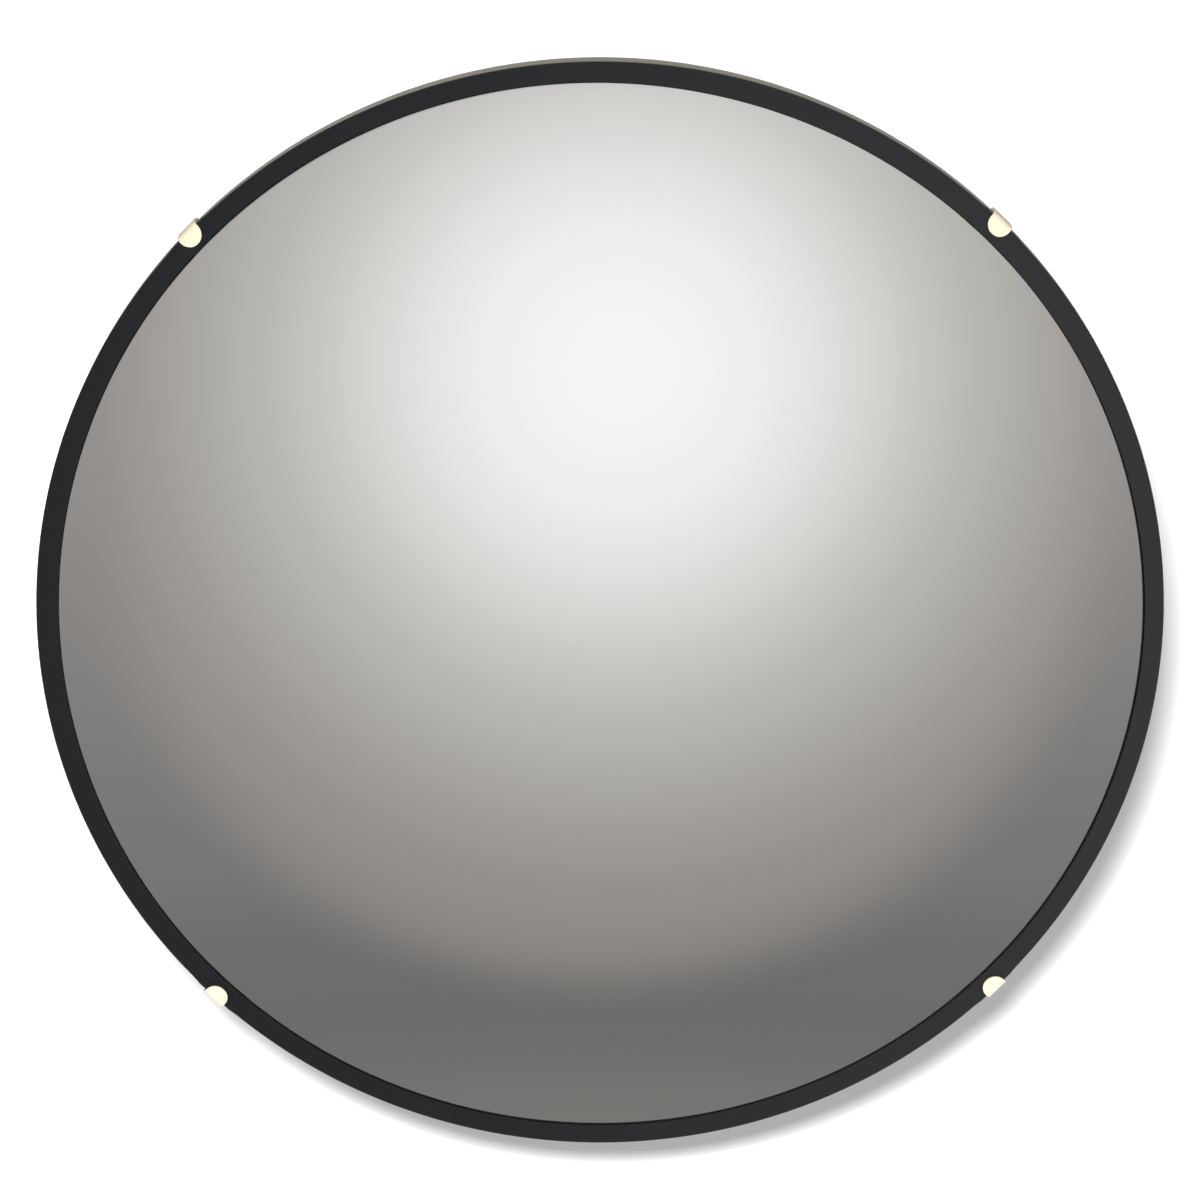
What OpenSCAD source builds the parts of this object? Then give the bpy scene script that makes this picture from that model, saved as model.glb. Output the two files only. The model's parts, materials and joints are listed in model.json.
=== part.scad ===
// Convex security mirror, 18 in, on a telescoping swivel wall bracket.
// Millimetres. The origin is the centre of the wall plate's back face, the wall is the
// plane y = 0, the mirror looks along -Y and +Z is up. A "reach" is a distance out from the wall.

/* [Mirror glass and back] */
// Diameter of the round convex glass
mirror_d = 457; // [300:1:680]
// Rise of the glass face from its rim to its crown
dome_rise = 50; // [38:1:80]
// Thickness of the glass
glass_t = 3; // [2:0.5:5]
// Width of the flat ground on the glass rim, which sits on the back board
glass_seat_w = 1.5; // [0.8:0.1:2.5]
// Thickness of the hardboard back
board_t = 3.2; // [2.4:0.1:6.4]

/* [Rubber edge trim] */
// Thickness of the trim outside the glass edge
trim_wall = 2.4; // [1.6:0.1:4]
// Width of the front lip, measured in from the trim's outside
trim_front_w = 8.5; // [6:0.5:14]
// Width of the back lip, measured in from the trim's outside
trim_back_w = 10; // [6:0.5:14]
// Thickness of the front lip at its tip
trim_tip_t = 1.1; // [0.8:0.1:2]
// Thickness of the back lip
trim_back_t = 1.4; // [1:0.1:3]
// Slope of the front lip, in degrees
trim_slope = 12; // [4:1:14]
// Radius of the trim's two outside corners
trim_corner_r = 1.2; // [0.6:0.1:2]

/* [Rim clips] */
// Places of the four clips round the rim, in degrees from the right-hand side
clip_angles = [46, 135.5, 225.5, 316];
// Width of a clip's strap
clip_w = 10; // [8:0.5:16]
// Thickness of a clip's strap
clip_t = 1.2; // [0.8:0.1:2]
// How far a clip's front tab reaches in over the trim
clip_front_reach = 6; // [5:0.5:10]
// How far a clip's back strap reaches in over the board
clip_back_reach = 54; // [35:1:80]
// Radius of a clip rivet's shank
clip_rivet_r = 2; // [1.5:0.1:3]

/* [Tubes] */
// Width over the square outer tube
outer_tube_w = 24; // [20:1:34]
// Wall of the outer tube
outer_tube_wall = 1.5; // [1:0.25:2.5]
// Length of the outer tube
outer_tube_len = 150; // [130:1:260]
// Wall of the inner tube
inner_tube_wall = 1.5; // [1:0.25:2.5]
// Length of the inner tube
inner_tube_len = 172; // [160:1:300]
// Radius of the tubes' outside corners
tube_corner_r = 2.5; // [1:0.5:4]
// Length of tube past each pivot bolt
tube_end_margin = 13; // [11:0.5:20]
// Distance of the locking screw from the outer tube's mouth
lock_setback = 22; // [20:0.5:40]

/* [Pivot bolts] */
// Radius of all the pivot bolts and of the locking screw
bolt_r = 3; // [2.5:0.5:4]
// Width across the flats of their heads and of the weld nut
bolt_flats = 10; // [9:0.5:14]
// Height of a bolt head
bolt_head_h = 4; // [3:0.5:6]
// Thickness of a flat washer
washer_t = 1.2; // [0.8:0.1:2]
// Radius of a flat washer
washer_r = 6.5; // [6.5:0.5:9]
// Height of a wing nut's hub
nut_h = 5.5; // [5:0.5:8]
// Length of each wing of a wing nut
wing_len = 12; // [10:0.5:18]
// Diameter of the locking knob
knob_d = 28; // [22:1:40]
// Height of the locking knob
knob_h = 13; // [11:1:20]

/* [Knuckle] */
// Thickness of the two stamped yokes
yoke_t = 2.5; // [2:0.5:4]
// Half width of the yokes' rounded ears
yoke_ear_r = 11; // [9:0.5:14]
// Radius of the rivets that join the yokes
yoke_rivet_r = 2.4; // [1.5:0.1:3]

/* [Mirror bracket] */
// Thickness of the bracket riveted to the back board
lug_t = 2.5; // [2:0.5:4]
// Width over the bracket's two ears
lug_w = 26; // [22:1:36]
// Radius of the bracket's ears round the tilt bolt
lug_ear_r = 12; // [10:0.5:16]
// Distance from the tilt bolt to the back board
lug_reach = 30; // [26:1:50]
// Height of the bracket's web
web_h = 100; // [80:1:140]
// Radius of the bracket's rivets
web_rivet_r = 2.4; // [1.5:0.1:3]
// Width of the stiffening plate inside the board
stiffener_w = 50; // [34:1:80]
// Height of the stiffening plate inside the board
stiffener_h = 114; // [90:1:150]
// Thickness of the stiffening plate
stiffener_t = 1.5; // [1:0.1:3]

/* [Wall bracket] */
// Width of the wall plate
plate_w = 100; // [80:1:160]
// Height of the wall plate
plate_h = 70; // [60:1:120]
// Thickness of the wall plate
plate_t = 3; // [2:0.5:6]
// Sideways spacing of the wall plate's screw holes
hole_span_x = 76; // [56:1:100]
// Upright spacing of the wall plate's screw holes
hole_span_z = 46; // [40:1:56]
// Radius of the wall plate's screw holes
screw_hole_r = 2.75; // [2:0.25:4]
// Thickness of the wall fork
fork_t = 3; // [2:0.5:5]
// Half width of the wall fork's rounded ears
fork_ear_r = 13; // [11:0.5:16]
// Inside radius of every bend in the stamped sheet
sheet_bend_r = 1.5; // [0.5:0.25:3]

/* [Fits] */
// Radial running clearance of a bolt in its bore
bore_clear = 0.05; // [0.02:0.01:0.1]
// Gap between an ear and what turns beside it
side_gap = 0.2; // [0.1:0.05:0.5]
// Gap at the corners of a tube that turns inside a yoke or fork
swing_gap = 0.5; // [0.3:0.1:3]
// Gap all round between the two tubes
tube_gap = 0.5; // [0.3:0.05:1]
// Gap of the nylon glide and of the collar on the tube they guide
glide_gap = 0.15; // [0.1:0.05:0.3]
// Gap between the rim's layers, which the rubber takes up
rim_gap = 0.1; // [0.05:0.05:0.2]
// Gap round a rivet in its hole
rivet_gap = 0.05; // [0.05:0.05:0.2]

/* [Hidden] */
$fn = 64;
round_fn = 180;

mirror_r = mirror_d / 2;
glass_outer_r = (mirror_r * mirror_r + dome_rise * dome_rise) / (2 * dome_rise);
glass_inner_r = glass_outer_r - glass_t;
seat_r = mirror_r - glass_seat_w;
// Centre of both glass faces, along the mirror's axis from the board's front face
glass_centre_z = -sqrt(glass_inner_r * glass_inner_r - seat_r * seat_r);

trim_r = mirror_r + rim_gap + trim_wall;
trim_tip_r = trim_r - trim_front_w;
trim_tip_z = glass_face_z(trim_tip_r) + rim_gap + trim_tip_t;
trim_edge_z = trim_tip_z - trim_front_w * tan(trim_slope);
trim_back_z = -board_t - rim_gap - trim_back_t;
// Centre of the arc that rounds the trim's front corner
trim_corner_z = trim_edge_z - trim_corner_r * (1 - sin(trim_slope)) / cos(trim_slope);
trim_arc_steps = 5;
lip_steps = 6;
// Step from the lip's rounded tip to its underside, which lies on the glass
lip_tip_step = 0.05;
bend_steps = 5;

clip_rivet_reach = clip_back_reach - clip_w;
clip_step_run = 3;

rivet_head_ratio = 1.8;
rivet_head_h = 1.6;
// Spread tail of a round rivet, and countersunk end of a flush one
rivet_tail_h = 1;
rivet_tail_inset = 0.4;
countersink_h = 1.4;
countersink_inset = 0.6;

inner_tube_w = outer_tube_w - 2 * (outer_tube_wall + tube_gap);
min_corner_r = 0.4;
sleeve_wall = 1.8;
sleeve_r = bolt_r + bore_clear + sleeve_wall;
stow_gap = 2;
glide_flange_t = 4;
glide_plug_len = 12;
glide_w = outer_tube_w - 2 * (outer_tube_wall + glide_gap);
collar_wall = 1.6;
collar_grip = 10;
collar_lip_t = 3;

swing_reach = plate_t + fork_t + max(rivet_head_h, sheet_bend_r) + swing_gap + corner_reach(outer_tube_w);
outer_rear_reach = swing_reach - tube_end_margin;
outer_front_reach = outer_rear_reach + outer_tube_len;
collar_front_reach = outer_front_reach + collar_lip_t;
// Slid home, the glide stops at the swing sleeve, or earlier where the swivel yoke would meet the collar
glide_reach = max(
    swing_reach + sleeve_r + stow_gap,
    collar_front_reach + stow_gap + max(yoke_ear_r, washer_r) + tube_end_margin - inner_tube_len - glide_flange_t);
inner_rear_reach = glide_reach + glide_flange_t;
inner_front_reach = inner_rear_reach + inner_tube_len;
swivel_reach = inner_front_reach - tube_end_margin;
lock_reach = outer_front_reach - lock_setback;
rear_yoke_reach = swivel_reach + corner_reach(inner_tube_w) + swing_gap + sheet_bend_r;
front_yoke_reach = rear_yoke_reach + yoke_t;
tilt_reach = front_yoke_reach + yoke_t + sheet_bend_r + swing_gap + lug_ear_r;
board_back_reach = tilt_reach + lug_reach;
board_reach = board_back_reach + board_t;

fork_gap_h = outer_tube_w + 2 * side_gap;
yoke_gap_h = inner_tube_w + 2 * side_gap;
yoke_gap_w = lug_w + 2 * side_gap;
weld_nut_h = 5;
knob_lift = 1.5;
knob_lobes = 6;
// Plastic left over the locking screw's top
knob_top_t = 3;
thread_past_nut = 3;
yoke_rivet_z = 4.8;
web_rivet_places = [-0.42, -0.28, 0.28, 0.42];
fork_rivet_x = 7;
web_corner_r = 4;
plate_corner_r = 8;
stiffener_corner_r = 6;

steel = "lightsteelblue";
zinc = "gainsboro";

// Height of the glass face above the board at radius r
function glass_face_z(r) = glass_centre_z + sqrt(glass_outer_r * glass_outer_r - r * r);

// Height above the board, at radius r, of a line that lies off the front lip's face by a distance
function lip_line_z(r, off) = trim_edge_z + (trim_r - r) * tan(trim_slope) + off / cos(trim_slope);

// Furthest point of a square tube's end from its pivot bolt
function corner_reach(w) = sqrt(w * w / 4 + tube_end_margin * tube_end_margin);

// Points along an arc, from angle a0 to angle a1
function arc(cx, cy, r, a0, a1, steps) =
    [for (i = [0:steps]) let (a = a0 + (a1 - a0) * i / steps) [cx + r * cos(a), cy + r * sin(a)]];

// Points that round the bend at b, between a and c, to radius r
function bend(a, b, c, r) =
    let (u = (a - b) / norm(a - b), v = (c - b) / norm(c - b), half = acos(u * v) / 2,
        mid = b + (u + v) / norm(u + v) * r / sin(half),
        from = b + u * r / tan(half) - mid, to = b + v * r / tan(half) - mid,
        a0 = atan2(from[1], from[0]), turn = (atan2(to[1], to[0]) - a0 + 900) % 360 - 180)
    arc(mid[0], mid[1], r, a0, a0 + turn, bend_steps);

// Line through the points with every bend rounded to radius r
function bent_line(p, r) = concat(
    [p[0]],
    [for (i = [1:len(p) - 2]) each bend(p[i - 1], p[i], p[i + 1], r)],
    [p[len(p) - 1]]);

// Unit normal of the run from a to b, to its left
function left_of(a, b) = [a[1] - b[1], b[0] - a[0]] / norm(b - a);

// Offset of point i of a line to its left, mitred between the two runs that meet there
function mitre(p, i) =
    let (n0 = left_of(p[max(i - 1, 0)], p[max(i, 1)]),
        n1 = left_of(p[min(i, len(p) - 2)], p[min(i + 1, len(p) - 1)]))
    (n0 + n1) / (1 + n0 * n1);

// Outline of a strap of thickness t along a line
function strap_outline(p, t) = concat(
    [for (i = [0:len(p) - 1]) p[i] + mitre(p, i) * t / 2],
    [for (i = [len(p) - 1:-1:0]) p[i] - mitre(p, i) * t / 2]);

// Upright plane at a reach from the wall: x sideways, y up, z out from the wall
module at_reach(reach) translate([0, -reach, 0]) rotate([90, 0, 0]) children();

// Upright axis at a reach from the wall
module on_post(reach) translate([0, -reach, 0]) children();

// Sideways axis at a reach from the wall, pointing to the left
module on_bar(reach) translate([0, -reach, 0]) rotate([0, -90, 0]) children();

// Rectangle with round corners, centred
module round_rect(w, h, r) {
    square([w - 2 * r, h], center = true);
    square([w, h - 2 * r], center = true);
    for (x = [-1, 1], y = [-1, 1]) translate([x * (w / 2 - r), y * (h / 2 - r)]) circle(r);
}

// Ear outline: straight from the base to the pivot, round past it; the pivot is at [0, 0]
module ear_outline(r, base) {
    circle(r);
    translate([-r, 0]) square([2 * r, base]);
}

// Stamped U of sheet: ears of radius r either side of a gap, pivot on the z axis, base's inside face at y = base
module stamped_yoke(r, t, gap, base) {
    ear_z = (gap + t) / 2;
    mid_y = base + t / 2;
    intersection() {
        rotate([90, 0, 90]) translate([0, 0, -r - 1]) linear_extrude(2 * r + 2)
            polygon(strap_outline(bent_line(
                [[-r - 1, ear_z], [mid_y, ear_z], [mid_y, -ear_z], [-r - 1, -ear_z]], sheet_bend_r + t / 2), t));
        translate([0, 0, -ear_z - t]) linear_extrude(2 * (ear_z + t)) ear_outline(r, base + t);
    }
}

// Square tube along z from 0 to its length
module square_tube(w, wall, len) {
    difference() {
        linear_extrude(len) round_rect(w, w, tube_corner_r);
        translate([0, 0, -1]) linear_extrude(len + 2)
            round_rect(w - 2 * wall, w - 2 * wall, max(tube_corner_r - wall, min_corner_r));
    }
}

// Hexagon prism, stated by the width across its flats
module hexagon(flats, h) cylinder(r = flats / sqrt(3), h = h, $fn = 6);

// Bolt that clamps a stack from z = -half to +half: head and washer below, nut room above
module pivot_bolt(half) {
    low = -half - washer_t;
    union() {
        translate([0, 0, low - bolt_head_h]) hexagon(bolt_flats, bolt_head_h);
        translate([0, 0, low - 1]) cylinder(r = bolt_r, h = 1 - low + half + washer_t + nut_h + thread_past_nut);
    }
}

// Flat washers at both ends of the stack
module pivot_washers(half) {
    for (z = [-half - washer_t, half]) translate([0, 0, z]) difference() {
        cylinder(r = washer_r, h = washer_t);
        translate([0, 0, -1]) cylinder(r = bolt_r + 2 * bore_clear, h = washer_t + 2);
    }
}

// Wing nut with its foot at z = 0: a tapered hub and two upswept wings with round tips
module wing_nut() {
    wing_t = 2.4;
    hub_r = washer_r - 0.5;
    hub_taper = 1;
    foot_z = 0.8;
    dip = 0.5;
    rise = 5;
    tip_r = 3.4;
    difference() {
        union() {
            cylinder(r1 = hub_r, r2 = hub_r - hub_taper, h = nut_h);
            rotate([90, 0, 0]) translate([0, 0, -wing_t / 2]) linear_extrude(wing_t)
                for (s = [-1, 1]) {
                    polygon([[0, foot_z], [s * (hub_r - hub_taper), foot_z], [s * (wing_len + 2), nut_h],
                        [s * (wing_len - 3), nut_h + rise], [s * (hub_r - 2 * hub_taper), nut_h - dip],
                        [0, nut_h - dip]]);
                    translate([s * (wing_len - 0.2), nut_h + 2.9]) circle(tip_r);
                }
        }
        translate([0, 0, -1]) cylinder(r = bolt_r + bore_clear, h = nut_h + 2);
        translate([0, 0, nut_h - dip]) cylinder(r = bolt_r + 1, h = 2 * wing_len);
    }
}

// Spacer sleeve on a pivot bolt, centred
module sleeve(len) {
    difference() {
        cylinder(r = sleeve_r, h = len, center = true);
        cylinder(r = bolt_r + bore_clear, h = len + 2, center = true);
    }
}

// Rivet with a round head above z = 0 and its tail spread below z = -grip
module round_rivet(r, grip) {
    head_r = r * rivet_head_ratio;
    ball_r = (head_r * head_r + rivet_head_h * rivet_head_h) / (2 * rivet_head_h);
    union() {
        intersection() {
            translate([0, 0, rivet_head_h - ball_r]) sphere(ball_r);
            cylinder(r = head_r, h = rivet_head_h);
        }
        translate([0, 0, -grip - rivet_tail_h / 2]) cylinder(r = r, h = grip + rivet_tail_h);
        translate([0, 0, -grip - rivet_tail_h]) cylinder(r = head_r - rivet_tail_inset, h = rivet_tail_h);
    }
}

// Rivet with a round head above z = 0 and a countersunk end flush at z = -grip
module flush_rivet(r, grip) {
    head_r = r * rivet_head_ratio;
    ball_r = (head_r * head_r + rivet_head_h * rivet_head_h) / (2 * rivet_head_h);
    union() {
        intersection() {
            translate([0, 0, rivet_head_h - ball_r]) sphere(ball_r);
            cylinder(r = head_r, h = rivet_head_h);
        }
        translate([0, 0, -grip]) cylinder(r = r, h = grip + rivet_head_h / 2);
        translate([0, 0, -grip]) cylinder(r1 = head_r - countersink_inset, r2 = r, h = countersink_h);
    }
}

// Hole for a flush rivet: countersunk from z = -grip
module flush_rivet_hole(r, grip) {
    head_r = r * rivet_head_ratio;
    translate([0, 0, -grip - 1]) cylinder(r = r + rivet_gap, h = grip + 2);
    translate([0, 0, -grip])
        cylinder(r1 = head_r - countersink_inset + rivet_gap, r2 = r + rivet_gap, h = countersink_h);
}

// Straight rivet hole through z = -grip to 0
module rivet_hole(r, grip) translate([0, 0, -grip - 1]) cylinder(r = r + rivet_gap, h = grip + 2);

// Round the four clip places, with x pointing outwards along the rim's radius
module at_clip(i) at_reach(board_reach) rotate(clip_angles[i]) children();

// The bracket rivets' places, on the board's back face, heads towards the wall
module at_web_rivets() {
    for (p = web_rivet_places)
        at_reach(board_back_reach - lug_t) translate([0, p * web_h, 0]) mirror([0, 0, 1]) children();
}

// Convex glass: a slice of two concentric spheres with a ground rim
module mirror_glass() {
    color("silver") at_reach(board_reach) intersection() {
        translate([0, 0, glass_centre_z]) difference() {
            sphere(glass_outer_r, $fn = round_fn);
            sphere(glass_inner_r, $fn = round_fn);
        }
        cylinder(r = mirror_r, h = 3 * dome_rise, $fn = round_fn);
    }
}

// Flat hardboard disc that closes the back of the dome
module back_board() {
    color("saddlebrown") difference() {
        at_reach(board_back_reach) cylinder(r = mirror_r, h = board_t, $fn = round_fn);
        for (i = [0:len(clip_angles) - 1])
            at_clip(i) translate([trim_r - clip_rivet_reach, 0, 0]) rivet_hole(clip_rivet_r, board_t);
        at_web_rivets() rivet_hole(web_rivet_r, lug_t + board_t);
    }
}

// Rubber channel round the glass and the board; its front lip tapers to a tip on the glass
module edge_trim() {
    c = trim_corner_r;
    front = 90 - trim_slope;
    color("dimgray") at_reach(board_reach) rotate_extrude($fn = round_fn) polygon(concat(
        [[trim_r - trim_back_w, trim_back_z], [trim_r - c, trim_back_z]],
        arc(trim_r - c, trim_back_z + c, c, -90, 0, trim_arc_steps),
        arc(trim_r - c, trim_corner_z, c, 0, front, trim_arc_steps),
        arc(trim_tip_r + trim_tip_t / 2, trim_tip_z - trim_tip_t / 2, trim_tip_t / 2, front, 180, trim_arc_steps),
        [for (i = [0:lip_steps]) let (r = trim_tip_r + lip_tip_step + (mirror_r - trim_tip_r - lip_tip_step) * i / lip_steps)
            [r, glass_face_z(r) + rim_gap]],
        [[mirror_r + rim_gap, glass_face_z(mirror_r)], [mirror_r + rim_gap, -board_t - rim_gap],
            [trim_r - trim_back_w, -board_t - rim_gap]]
    ));
}

// Bent steel strap from a tab on the trim's front lip, round the rim, to a rivet in the board
module rim_clip(i) {
    off = clip_t / 2 + rim_gap;
    rim = trim_r + off;
    tab_r = trim_r - clip_front_reach;
    back_z = trim_back_z - off;
    board_z = -board_t - clip_t / 2;
    step_r = trim_r - trim_back_w - 1;
    color("ivory") at_clip(i) difference() {
        intersection() {
            rotate([90, 0, 0]) translate([0, 0, -clip_w / 2]) linear_extrude(clip_w)
                polygon(strap_outline(bent_line([
                    [tab_r, lip_line_z(tab_r, off)], [rim, lip_line_z(rim, off)], [rim, back_z],
                    [step_r, back_z], [step_r - clip_step_run, board_z],
                    [trim_r - clip_back_reach, board_z]], trim_corner_r + off), clip_t));
            union() {
                linear_extrude(dome_rise) clip_outline(clip_front_reach);
                translate([0, 0, -2 * dome_rise]) linear_extrude(2 * dome_rise) clip_outline(clip_back_reach);
            }
        }
        translate([trim_r - clip_rivet_reach, 0, 0]) rivet_hole(clip_rivet_r, board_t + 2 * clip_t);
    }
}

// Plan of one arm of a clip: a strip with a round inner end, a little wider than the strap
module clip_outline(reach) {
    end_x = trim_r - reach + clip_w / 2;
    half = clip_w / 2 + 1;
    polygon(concat([[trim_r + clip_w, -half], [trim_r + clip_w, half], [end_x + 1, half], [end_x, clip_w / 2]],
        arc(end_x, 0, clip_w / 2, 100, 260, 4 * bend_steps), [[end_x, -clip_w / 2], [end_x + 1, -half]]));
}

module clip_upper_right() rim_clip(0);
module clip_upper_left() rim_clip(1);
module clip_lower_left() rim_clip(2);
module clip_lower_right() rim_clip(3);

// One rivet through each clip and the board
module clip_rivets() {
    color(zinc) for (i = [0:len(clip_angles) - 1])
        at_clip(i) translate([trim_r - clip_rivet_reach, 0, -board_t - clip_t])
            mirror([0, 0, 1]) round_rivet(clip_rivet_r, board_t + clip_t);
}

// Steel plate inside the board that spreads the bracket's load
module stiffening_plate() {
    color(steel) difference() {
        at_reach(board_reach) linear_extrude(stiffener_t) round_rect(stiffener_w, stiffener_h, stiffener_corner_r);
        at_web_rivets() rivet_hole(web_rivet_r, lug_t + board_t + stiffener_t);
    }
}

// Stamped bracket on the board: an upright web between two ears for the tilt bolt
module mirror_bracket() {
    color(zinc) difference() {
        union() {
            at_reach(board_back_reach - lug_t) linear_extrude(lug_t)
                round_rect(lug_w - 2 * (sheet_bend_r + lug_t), web_h, web_corner_r);
            on_bar(tilt_reach) rotate(180) stamped_yoke(lug_ear_r, lug_t, lug_w - 2 * lug_t, lug_reach - lug_t);
        }
        on_bar(tilt_reach) cylinder(r = bolt_r + bore_clear, h = 2 * lug_w, center = true);
        at_web_rivets() rivet_hole(web_rivet_r, lug_t);
    }
}

// Four rivets through the bracket, the board and the stiffening plate
module bracket_rivets() {
    color(zinc) at_web_rivets() round_rivet(web_rivet_r, lug_t + board_t + stiffener_t);
}

// Spacer between the bracket's ears
module tilt_sleeve() {
    color(steel) on_bar(tilt_reach) sleeve(lug_w - 2 * lug_t);
}

// Yoke whose ears stand either side of the mirror bracket
module front_yoke() {
    color(zinc) difference() {
        on_bar(tilt_reach)
            stamped_yoke(yoke_ear_r, yoke_t, yoke_gap_w, tilt_reach - front_yoke_reach - yoke_t);
        on_bar(tilt_reach) cylinder(r = bolt_r + bore_clear, h = 2 * yoke_gap_w, center = true);
        at_yoke_rivets() rivet_hole(yoke_rivet_r, 2 * yoke_t);
    }
}

// Yoke whose ears stand above and below the inner tube
module rear_yoke() {
    color(zinc) difference() {
        on_post(swivel_reach) rotate(180)
            stamped_yoke(yoke_ear_r, yoke_t, yoke_gap_h, rear_yoke_reach - swivel_reach);
        on_post(swivel_reach) cylinder(r = bolt_r + bore_clear, h = 2 * yoke_gap_h, center = true);
        at_yoke_rivets() flush_rivet_hole(yoke_rivet_r, 2 * yoke_t);
    }
}

// The yoke rivets' places, heads towards the mirror
module at_yoke_rivets() {
    for (z = [-yoke_rivet_z, yoke_rivet_z]) at_reach(front_yoke_reach + yoke_t) translate([0, z, 0]) children();
}

module yoke_rivets() {
    color(steel) at_yoke_rivets() flush_rivet(yoke_rivet_r, 2 * yoke_t);
}

module tilt_bolt() {
    color(zinc) on_bar(tilt_reach) pivot_bolt(yoke_gap_w / 2 + yoke_t);
}

module tilt_washers() {
    color(steel) on_bar(tilt_reach) pivot_washers(yoke_gap_w / 2 + yoke_t);
}

module tilt_wing_nut() {
    color(zinc) on_bar(tilt_reach) translate([0, 0, yoke_gap_w / 2 + yoke_t + washer_t]) wing_nut();
}

module swivel_bolt() {
    color(zinc) on_post(swivel_reach) pivot_bolt(yoke_gap_h / 2 + yoke_t);
}

module swivel_washers() {
    color(steel) on_post(swivel_reach) pivot_washers(yoke_gap_h / 2 + yoke_t);
}

module swivel_wing_nut() {
    color(zinc) on_post(swivel_reach) translate([0, 0, yoke_gap_h / 2 + yoke_t + washer_t]) wing_nut();
}

// Spacer inside the inner tube, round the swivel bolt
module swivel_sleeve() {
    color(steel) on_post(swivel_reach) sleeve(inner_tube_w - 2 * inner_tube_wall);
}

module inner_tube() {
    color(steel) difference() {
        at_reach(inner_rear_reach) square_tube(inner_tube_w, inner_tube_wall, inner_tube_len);
        on_post(swivel_reach) cylinder(r = bolt_r + bore_clear, h = 2 * inner_tube_w, center = true);
    }
}

// Nylon plug in the inner tube's rear end, whose flange slides in the outer tube
module tube_glide() {
    bore_w = inner_tube_w - 2 * inner_tube_wall;
    flange_corner_r = max(tube_corner_r - outer_tube_wall, min_corner_r);
    color("whitesmoke") at_reach(glide_reach) difference() {
        union() {
            linear_extrude(glide_flange_t) round_rect(glide_w, glide_w, flange_corner_r);
            linear_extrude(glide_flange_t + glide_plug_len)
                round_rect(bore_w - 2 * rim_gap, bore_w - 2 * rim_gap, max(tube_corner_r - inner_tube_wall, min_corner_r));
        }
        translate([0, 0, -1]) cylinder(r = bore_w / 2 - 2, h = glide_flange_t + glide_plug_len + 2);
    }
}

// Outer tube, drilled for the swing bolt and under the weld nut
module outer_tube() {
    color(steel) difference() {
        at_reach(outer_rear_reach) square_tube(outer_tube_w, outer_tube_wall, outer_tube_len);
        on_post(swing_reach) cylinder(r = bolt_r + bore_clear, h = 2 * outer_tube_w, center = true);
        on_post(lock_reach) cylinder(r = bolt_r + 2 * bore_clear, h = outer_tube_w);
    }
}

// Plastic collar on the outer tube's mouth
module tube_collar() {
    w = outer_tube_w + 2 * (rim_gap + collar_wall);
    socket_w = outer_tube_w + 2 * rim_gap;
    mouth_w = inner_tube_w + 2 * glide_gap;
    color("black") at_reach(outer_front_reach - collar_grip) difference() {
        linear_extrude(collar_grip + collar_lip_t) round_rect(w, w, tube_corner_r + rim_gap + collar_wall);
        translate([0, 0, -1]) linear_extrude(collar_grip + 1)
            round_rect(socket_w, socket_w, tube_corner_r + rim_gap);
        translate([0, 0, collar_grip - 1]) linear_extrude(collar_lip_t + 2)
            round_rect(mouth_w, mouth_w, tube_corner_r + glide_gap);
    }
}

// Nut welded on top of the outer tube for the locking screw
module weld_nut() {
    color(zinc) on_post(lock_reach) translate([0, 0, outer_tube_w / 2]) difference() {
        hexagon(bolt_flats, weld_nut_h);
        translate([0, 0, -1]) cylinder(r = bolt_r + bore_clear, h = weld_nut_h + 2);
    }
}

// Lobed plastic knob moulded on the locking screw
module lock_knob() {
    boss_h = 2.5;
    lobe_cut_r = knob_d * 0.19;
    lobe_cut_place = knob_d * 0.6;
    color("black") on_post(lock_reach) translate([0, 0, outer_tube_w / 2 + weld_nut_h + knob_lift]) difference() {
        union() {
            cylinder(r = knob_d / 4, h = boss_h + 1);
            translate([0, 0, boss_h]) difference() {
                cylinder(r = knob_d / 2, h = knob_h - boss_h);
                for (i = [0:knob_lobes - 1]) rotate(360 / knob_lobes * (i + 0.5))
                    translate([lobe_cut_place, 0, -1]) cylinder(r = lobe_cut_r, h = knob_h + 2);
            }
        }
        translate([0, 0, -1]) cylinder(r = bolt_r + rim_gap, h = knob_h - knob_top_t + 1);
    }
}

// Locking screw, whose tip bears on the inner tube and whose top stands in the knob
module lock_screw() {
    tip_z = inner_tube_w / 2 + rim_gap;
    top_z = outer_tube_w / 2 + weld_nut_h + knob_lift + knob_h - knob_top_t;
    color(steel) on_post(lock_reach) translate([0, 0, tip_z]) cylinder(r = bolt_r, h = top_z - tip_z);
}

module swing_bolt() {
    color(zinc) on_post(swing_reach) pivot_bolt(fork_gap_h / 2 + fork_t);
}

module swing_washers() {
    color(steel) on_post(swing_reach) pivot_washers(fork_gap_h / 2 + fork_t);
}

module swing_wing_nut() {
    color(zinc) on_post(swing_reach) translate([0, 0, fork_gap_h / 2 + fork_t + washer_t]) wing_nut();
}

// Spacer inside the outer tube, round the swing bolt
module swing_sleeve() {
    color(steel) on_post(swing_reach) sleeve(outer_tube_w - 2 * outer_tube_wall);
}

// Stamped fork on the wall plate, with ears above and below the outer tube
module wall_fork() {
    color(zinc) difference() {
        on_post(swing_reach) stamped_yoke(fork_ear_r, fork_t, fork_gap_h, swing_reach - plate_t - fork_t);
        on_post(swing_reach) cylinder(r = bolt_r + bore_clear, h = 2 * fork_gap_h, center = true);
        at_fork_rivets() rivet_hole(yoke_rivet_r, fork_t);
    }
}

// The fork rivets' places, heads inside the fork
module at_fork_rivets() {
    for (x = [-fork_rivet_x, fork_rivet_x]) at_reach(plate_t + fork_t) translate([x, 0, 0]) children();
}

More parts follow.
